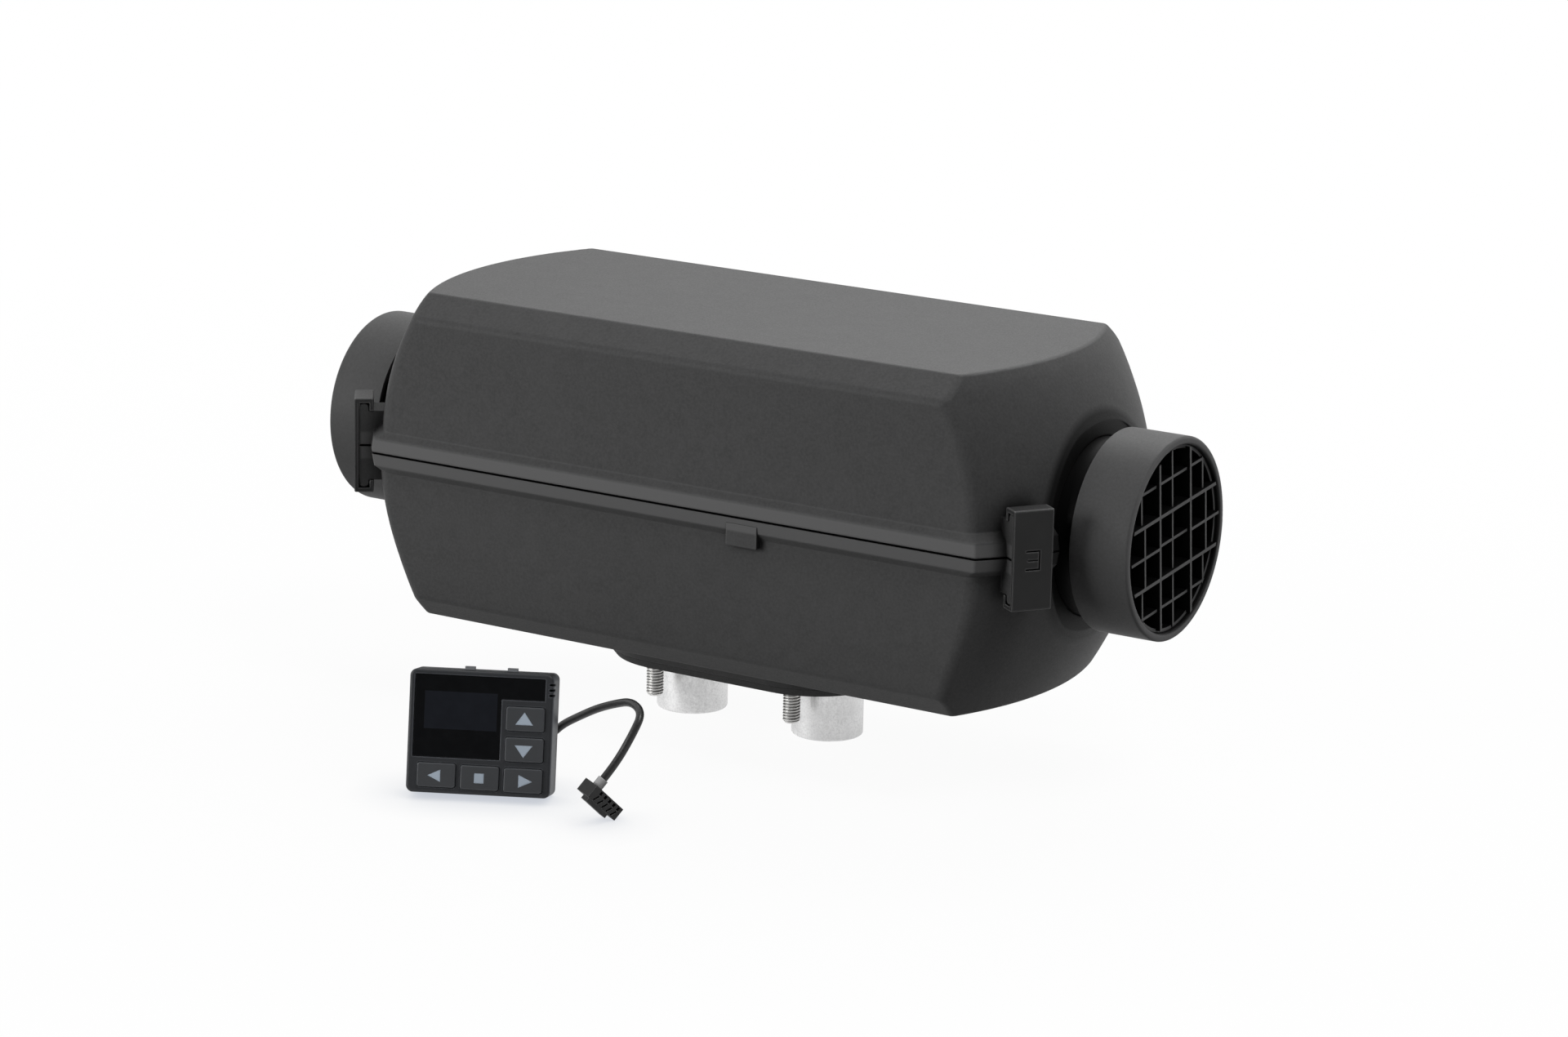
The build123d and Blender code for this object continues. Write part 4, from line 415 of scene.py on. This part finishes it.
def board_look():
    """Green laminate of the panel's circuit board."""
    look = Look("board_laminate", 0.35)
    fine = look.noise(scale=900.0)
    look.give("Base Color", look.between(fine, (0.01, 0.06, 0.03), (0.015, 0.09, 0.045)))
    look.skin(fine, smooth=0.28, rough=0.42, strength=0.2, depth=0.02 * MM)
    return look


# ----------------------------------------------------- the panel's own frame
PANEL_TURN = math.radians(26.1)
PANEL_LEAN = math.radians(12.8)
PANEL_DEPTH = 12 * MM
PANEL_OUT = front_direction(PANEL_TURN, PANEL_LEAN)
PANEL_RIGHT = right_direction(PANEL_TURN)
PANEL_UP = PANEL_OUT.cross(PANEL_RIGHT)
PANEL_FACE_Z = FLOOR_Z + PANEL_DEPTH * math.sin(PANEL_LEAN)
PANEL_ORIGIN = Vector((-21.5 * MM, -131.3 * MM, PANEL_FACE_Z))


def on_panel(x, y, out):
    """A point from millimetres right, up and out of the panel's face."""
    return PANEL_ORIGIN + MM * (x * PANEL_RIGHT + y * PANEL_UP + out * PANEL_OUT)


def window_look():
    """Glossy window, with the display's slightly lighter field behind it."""
    look = Look("display_window_gloss", 0.12, specular=0.35)
    look.give("Coat Weight", 0.1)
    field_centre = on_panel(-6.4, 26.45, 0)
    half_width = 11.7
    half_height = 6.05
    blur = 0.15
    insides = []
    for axis, half in ((PANEL_RIGHT, half_width), (PANEL_UP, half_height)):
        offset = look.vector_math("SUBTRACT", look.place, field_centre)
        size = look.number_math("ABSOLUTE", look.vector_math("DOT_PRODUCT", offset, axis))
        insides.append(look.spread(size, 1.0, 0.0, (half - blur) * MM, half * MM))
    field = look.number_math("MULTIPLY", *insides)
    cloud = look.noise(scale=300.0)
    glass = look.between(cloud, (0.0022, 0.0025, 0.0032), (0.0030, 0.0034, 0.0042))
    display = look.between(cloud, (0.0105, 0.0120, 0.0165), (0.0120, 0.0138, 0.0190))
    look.give("Base Color", look.mix(field, glass, display))
    look.skin(cloud, smooth=0.1, rough=0.16, strength=0.05, depth=0.01 * MM, edge=0.3 * MM)
    return look


looks = {
    "casing": casing_look(),
    "clip": moulded(
        "clip_plastic", 0.022, rough=0.42, grain=2200.0, depth=0.03 * MM, edge_wear_and_highlight=7.0,
        mottle=0.35, specular=0.2, shade=3 * MM,
    ),
    "collar": collar_look(),
    "grille": grille_look(),
    "grommet": rubber("grommet_rubber", 0.02),
    "gasket": rubber("gasket_rubber", 0.018, rough=0.8),
    "flange": cast_metal("flange_casting", 0.55),
    "stub": cast_metal("stub_casting", 0.97, grain=1100.0, depth=0.06 * MM, pitted=0.16),
    "steel": turned_steel("plated_steel", 0.78),
    "exchanger": cast_metal("exchanger_casting", 0.5, rough=0.45, grain=700.0),
    "burner": burner_look(),
    "plug": turned_steel("plug_nickel", 0.6, rough=0.25),
    "sensor": moulded("sensor_body", 0.2, tint=(1.0, 0.92, 0.8)),
    "fibre_gasket": moulded(
        "fibre_gasket", 0.25, rough=0.85, grain=900.0, depth=0.1 * MM, tint=(1.0, 0.93, 0.82)
    ),
    "blower": cast_metal("blower_casting", 0.5, rough=0.42),
    "motor": moulded("motor_paint", 0.09, rough=0.4, grain=1200.0, depth=0.02 * MM),
    "impeller": moulded("impeller_plastic", 0.035, rough=0.4),
    # near black, partly its own dark plastic and partly painted shade for the dark inside of the
    # duct
    "fan": moulded("fan_plastic", 0.006, specular=0.15),
    "electronics": moulded("electronics_case", 0.045, rough=0.55),
    # its right side has a lighter level painted on, as light falling from the right
    "panel_shell": moulded(
        "panel_shell_plastic", 0.028, rough=0.42, depth=0.02 * MM, tint=(0.94, 1.0, 1.12),
        edge=0.4 * MM, edge_wear_and_highlight=4.5, specular=0.35, side=(PANEL_RIGHT, 0.135),
    ),
    "panel_back": moulded(
        "panel_back_plastic", 0.2, depth=0.03 * MM, tint=(0.97, 1.0, 1.04), edge=0.4 * MM,
        edge_wear_and_highlight=1.4,
    ),
    "window": window_look(),
    "display": moulded("display_cell", 0.03, rough=0.3, tint=(0.9, 1.0, 1.2)),
    "board": board_look(),
    "key": moulded(
        "key_plastic", 0.055, rough=0.42, depth=0.02 * MM, tint=(0.95, 1.0, 1.08),
        edge=0.3 * MM, edge_wear_and_highlight=3.6, specular=0.35,
    ),
    "cable_jacket": rubber("cable_jacket", 0.03, rough=0.34, depth=0.005 * MM),
    "sleeve": moulded("sleeve_plastic", 0.4, rough=0.4),
    "connector": moulded("connector_plastic", 0.025, rough=0.4, edge=0.2 * MM, edge_wear_and_highlight=6.0),
}
symbol_look = moulded("symbol_ink", 0.5, tint=(0.86, 1.0, 1.16), edge_wear_and_highlight=1.0)
nut_look = turned_steel("blackened_steel", 0.1, rough=0.4)
thread_look = turned_steel(
    "threaded_steel", 0.82, rough=0.36, rings_per_metre=600, groove=0.9 * MM
)

slot_of = {row["node"]: row["material_slot"] for row in frame["record"]["subparts"]}
for name, node in nodes.items():
    node.data.materials.clear()
    node.data.materials.append(looks[slot_of[name]].material)
nodes["fan_nut"].data.materials[0] = nut_look.material


# ------------------------------------------------------------ added pieces
SMOOTH_ANGLE = math.radians(30)


def new_piece(name, vertices, faces, look, body):
    """A mesh piece that rides on a body, smooth but for its sharp edges."""
    mesh = bpy.data.meshes.new(name)
    mesh.from_pydata([tuple(v) for v in vertices], [], faces)
    mesh.validate()
    made = bmesh.new()
    made.from_mesh(mesh)
    bmesh.ops.recalc_face_normals(made, faces=made.faces)
    made.to_mesh(mesh)
    made.free()
    mesh.shade_smooth()
    mesh.set_sharp_from_angle(angle=SMOOTH_ANGLE)
    mesh.materials.append(look.material)
    piece = bpy.data.objects.new(name, mesh)
    scene.collection.objects.link(piece)
    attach(piece, body)
    return piece


# ------------------------------------------------------------ threaded studs
STUD_RADIUS = 2.9 * MM
STUD_ROOT = 2.45 * MM
STUD_PITCH = 1.0 * MM
STUD_TIP_LENGTH = 0.9 * MM
STUD_TIP_DEPTH = 0.8 * MM
STUD_LOW = -11.5 * MM
STUD_HIGH = 2.9 * MM
STUD_X = 27.0 * MM
STUD_Y = 21.5 * MM
STEPS_AROUND = 40
RINGS_PER_PITCH = 8


def thread_radius(z, turns):
    """The thread's radius at a height, that many turns round the stud."""
    phase = (z / STUD_PITCH - turns) % 1.0
    wave = min(1.0, abs(phase - 0.5) * 3.0)
    thread = STUD_ROOT + (STUD_RADIUS - STUD_ROOT) * wave
    near_tip = max(0.0, 1.0 - (z - STUD_LOW) / STUD_TIP_LENGTH)
    return min(thread, STUD_RADIUS - STUD_TIP_DEPTH * near_tip)


def stud_vertices(x, y, rings):
    """Rings of points up one stud."""
    vertices = []
    for ring in range(rings + 1):
        z = STUD_LOW + (STUD_HIGH - STUD_LOW) * ring / rings
        for step in range(STEPS_AROUND):
            turn = 2 * math.pi * step / STEPS_AROUND
            radius = thread_radius(z, step / STEPS_AROUND)
            vertices.append((x + radius * math.cos(turn), y + radius * math.sin(turn), z))
    return vertices


def stud_faces(base, rings):
    """The skin over one stud's rings, which start at vertex base, and its two ends."""
    faces = []
    for ring in range(rings):
        low = base + ring * STEPS_AROUND
        high = low + STEPS_AROUND
        for step in range(STEPS_AROUND):
            after = (step + 1) % STEPS_AROUND
            faces.append((low + step, low + after, high + after, high + step))
    top = base + rings * STEPS_AROUND
    faces.append(tuple(range(base, base + STEPS_AROUND)))
    faces.append(tuple(range(top, top + STEPS_AROUND)))
    return faces


def threaded_studs():
    """Four studs with a real helical thread and a chamfered tip."""
    rings = int((STUD_HIGH - STUD_LOW) / STUD_PITCH * RINGS_PER_PITCH)
    vertices = []
    faces = []
    for x in (-STUD_X, STUD_X):
        for y in (-STUD_Y, STUD_Y):
            faces += stud_faces(len(vertices), rings)
            vertices += stud_vertices(x, y, rings)
    studs = new_piece("threaded_studs", vertices, faces, thread_look, "heater")
    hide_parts("mounting_studs")


threaded_studs()


# -------------------------------------------------------------- key symbols
# Outlines in millimetres right and up on the panel. The caps' tops are at 0.7.
SYMBOL_FOOT = 0.69
SYMBOL_TOP = 0.74
KEY_SYMBOLS = {
    "up_button": [(11.3, 23.0), (17.0, 23.0), (14.15, 27.0)],
    "down_button": [(11.4, 16.5), (17.1, 16.5), (14.25, 12.6)],
    "left_button": [(-12.0, 3.7), (-12.0, 7.6), (-16.1, 5.65)],
    "right_button": [(13.0, 3.1), (13.0, 7.2), (17.4, 5.15)],
    "stop_button": [(-1.15, 3.85), (1.95, 3.85), (1.95, 7.0), (-1.15, 7.0)],
}


def key_symbol(button, outline):
    """A thin printed shape on a key's cap."""
    count = len(outline)
    vertices = [on_panel(x, y, SYMBOL_FOOT) for x, y in outline]
    vertices += [on_panel(x, y, SYMBOL_TOP) for x, y in outline]
    faces = [tuple(range(count)), tuple(range(count, 2 * count))]
    for i in range(count):
        after = (i + 1) % count
        faces.append((i, after, count + after, count + i))
    new_piece(button + "_symbol", vertices, faces, symbol_look, button)


for button, outline in KEY_SYMBOLS.items():
    key_symbol(button, outline)


# --------------------------------------------------------------------- cable
CABLE_RADIUS = 1.3 * MM
CABLE_POINTS = [
    (-0.0162, -0.10689, -0.00333),
    (-0.01817, -0.10286, -0.00435),
    (-0.0154, -0.0982, -0.0039),
    (-0.0121, -0.0976, -0.0005),
    (-0.0052, -0.0990, 0.0036),
    (0.0034, -0.1015, 0.0084),
    (0.0122, -0.1045, 0.0123),
    (0.0212, -0.1080, 0.0156),
    (0.0279, -0.1120, 0.0140),
    (0.0278, -0.1165, 0.0088),
    (0.02464, -0.12132, -0.00063),
    (0.02238, -0.12517, -0.00535),
]


def lay_cable():
    """One smooth cable from the panel's back over its arch to the connector."""
    curve = bpy.data.curves.new("control_cable", "CURVE")
    curve.dimensions = "3D"
    spline = curve.splines.new("NURBS")
    spline.points.add(len(CABLE_POINTS) - 1)
    for point, place in zip(spline.points, CABLE_POINTS):
        point.co = (*place, 1.0)
    spline.order_u = 3
    spline.use_endpoint_u = True
    spline.resolution_u = 16
    curve.bevel_depth = CABLE_RADIUS
    curve.bevel_resolution = 6
    curve.use_fill_caps = True
    curve.materials.append(looks["cable_jacket"].material)
    cable = bpy.data.objects.new("control_cable", curve)
    scene.collection.objects.link(cable)
    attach(cable, "heater")
    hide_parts("controller_cable")


lay_cable()


# --------------------------------------------------------------------- floor
FLOOR_HALF = 3.0
PANEL_SHADE_REACH = 22 * MM
PANEL_SHADE_CENTRE = (-12 * MM, -125 * MM, FLOOR_Z)
PANEL_SHADE_TINT = (0.58, 0.61, 0.67)


def floor_look():
    """Glows white where it is seen or mirrored, keeps the shadow, has a painted shadow round the
    panel, and is dull to other light.
    """
    material = bpy.data.materials.new("floor_white")
    material.use_nodes = True
    material.node_tree.nodes.clear()
    tree = Tree(material.node_tree)
    rays = tree.node("ShaderNodeLightPath").outputs
    place = tree.node("ShaderNodeNewGeometry").outputs["Position"]

    # painted shadow: the glow is tinted darker round the panel and its plug, where they touch
    # the floor
    from_panel = tree.vector_math("DISTANCE", place, PANEL_SHADE_CENTRE)
    past_panel = tree.spread(from_panel, 0.0, 1.0, start=45 * MM, end=75 * MM)
    clear = tree.openness(PANEL_SHADE_REACH, samples=8)
    unshaded = tree.number_math("MAXIMUM", clear, past_panel)
    tint = tree.mix(unshaded, PANEL_SHADE_TINT, NEUTRAL)

    # the glow's share grows with distance, so that the heater's shadow fades into white
    reach = tree.vector_math("LENGTH", place)
    mirrored_share = tree.spread(reach, 0.62, 1.0, start=0.3, end=1.6)
    seen_share = tree.spread(reach, 0.95, 1.0, start=0.25, end=0.8)
    shares = {"Factor": rays["Is Camera Ray"], "A": mirrored_share, "B": seen_share}
    share = tree.node("ShaderNodeMix", shares).outputs["Result"]

    glow = tree.plain_shader("ShaderNodeEmission", tint)
    pale = tree.plain_shader("ShaderNodeBsdfDiffuse", grey(0.9))
    dull = tree.plain_shader("ShaderNodeBsdfDiffuse", grey(0.1))
    shown = tree.mix_shaders(share, pale, glow)
    direct = tree.number_math("MAXIMUM", rays["Is Camera Ray"], rays["Is Glossy Ray"])
    seen = tree.number_math("MAXIMUM", direct, rays["Is Transmission Ray"])
    surface = tree.mix_shaders(seen, dull, shown)
    tree.node("ShaderNodeOutputMaterial", {"Surface": surface})
    return material


def lay_floor():
    corners = [(-1, -1), (1, -1), (1, 1), (-1, 1)]
    mesh = bpy.data.meshes.new("floor")
    vertices = [(x * FLOOR_HALF, y * FLOOR_HALF, FLOOR_Z) for x, y in corners]
    mesh.from_pydata(vertices, [], [(0, 1, 2, 3)])
    mesh.materials.append(floor_look())
    floor = bpy.data.objects.new("floor", mesh)
    scene.collection.objects.link(floor)


lay_floor()


# --------------------------------------------------------------------- light
STUDIO_BACK = (-0.52, 0.85, 0.0)


def light_world():
    """A white backdrop, a plain grey fill, and a studio in gloss that is bright at the back."""
    world = bpy.data.worlds.new("studio")
    scene.world = world
    world.use_nodes = True
    world.node_tree.nodes.clear()
    tree = Tree(world.node_tree)
    rays = tree.node("ShaderNodeLightPath").outputs
    direction = tree.node("ShaderNodeTexCoord").outputs["Generated"]
    backward = tree.vector_math("DOT_PRODUCT", direction, STUDIO_BACK)
    brightness = tree.spread(backward, 0.1, 1.0, start=-0.3, end=0.35)
    studio = tree.plain_shader("ShaderNodeBackground", brightness)
    fill = tree.plain_shader("ShaderNodeBackground", (0.2, 0.2, 0.205))
    white = tree.plain_shader("ShaderNodeBackground", NEUTRAL)
    mirrored = tree.number_math("MAXIMUM", rays["Is Glossy Ray"], rays["Is Transmission Ray"])
    light = tree.mix_shaders(mirrored, fill, studio)
    surface = tree.mix_shaders(rays["Is Camera Ray"], light, white)
    tree.node("ShaderNodeOutputWorld", {"Surface": surface})


def softbox(name, place, target_height, width, height, power):
    """A rectangular area lamp, turned to a point on the heater's upright axis."""
    data = bpy.data.lights.new(name, "AREA")
    data.shape = "RECTANGLE"
    data.size = width
    data.size_y = height
    data.energy = power
    lamp = bpy.data.objects.new(name, data)
    scene.collection.objects.link(lamp)
    lamp.location = place
    aim = Vector((0, 0, target_height)) - Vector(place)
    lamp.rotation_euler = aim.to_track_quat("-Z", "Y").to_euler()


light_world()
softbox("top_softbox", (-0.2, 0.9, 1.1), 0.06, width=1.2, height=0.8, power=12.0)
softbox("front_softbox", (-0.9, -1.4, 0.45), 0.05, width=1.0, height=0.8, power=15.5)
softbox("side_softbox", (0.9, -0.25, 1.5), 0.05, width=0.6, height=0.6, power=10.5)
scene.view_settings.view_transform = "Standard"
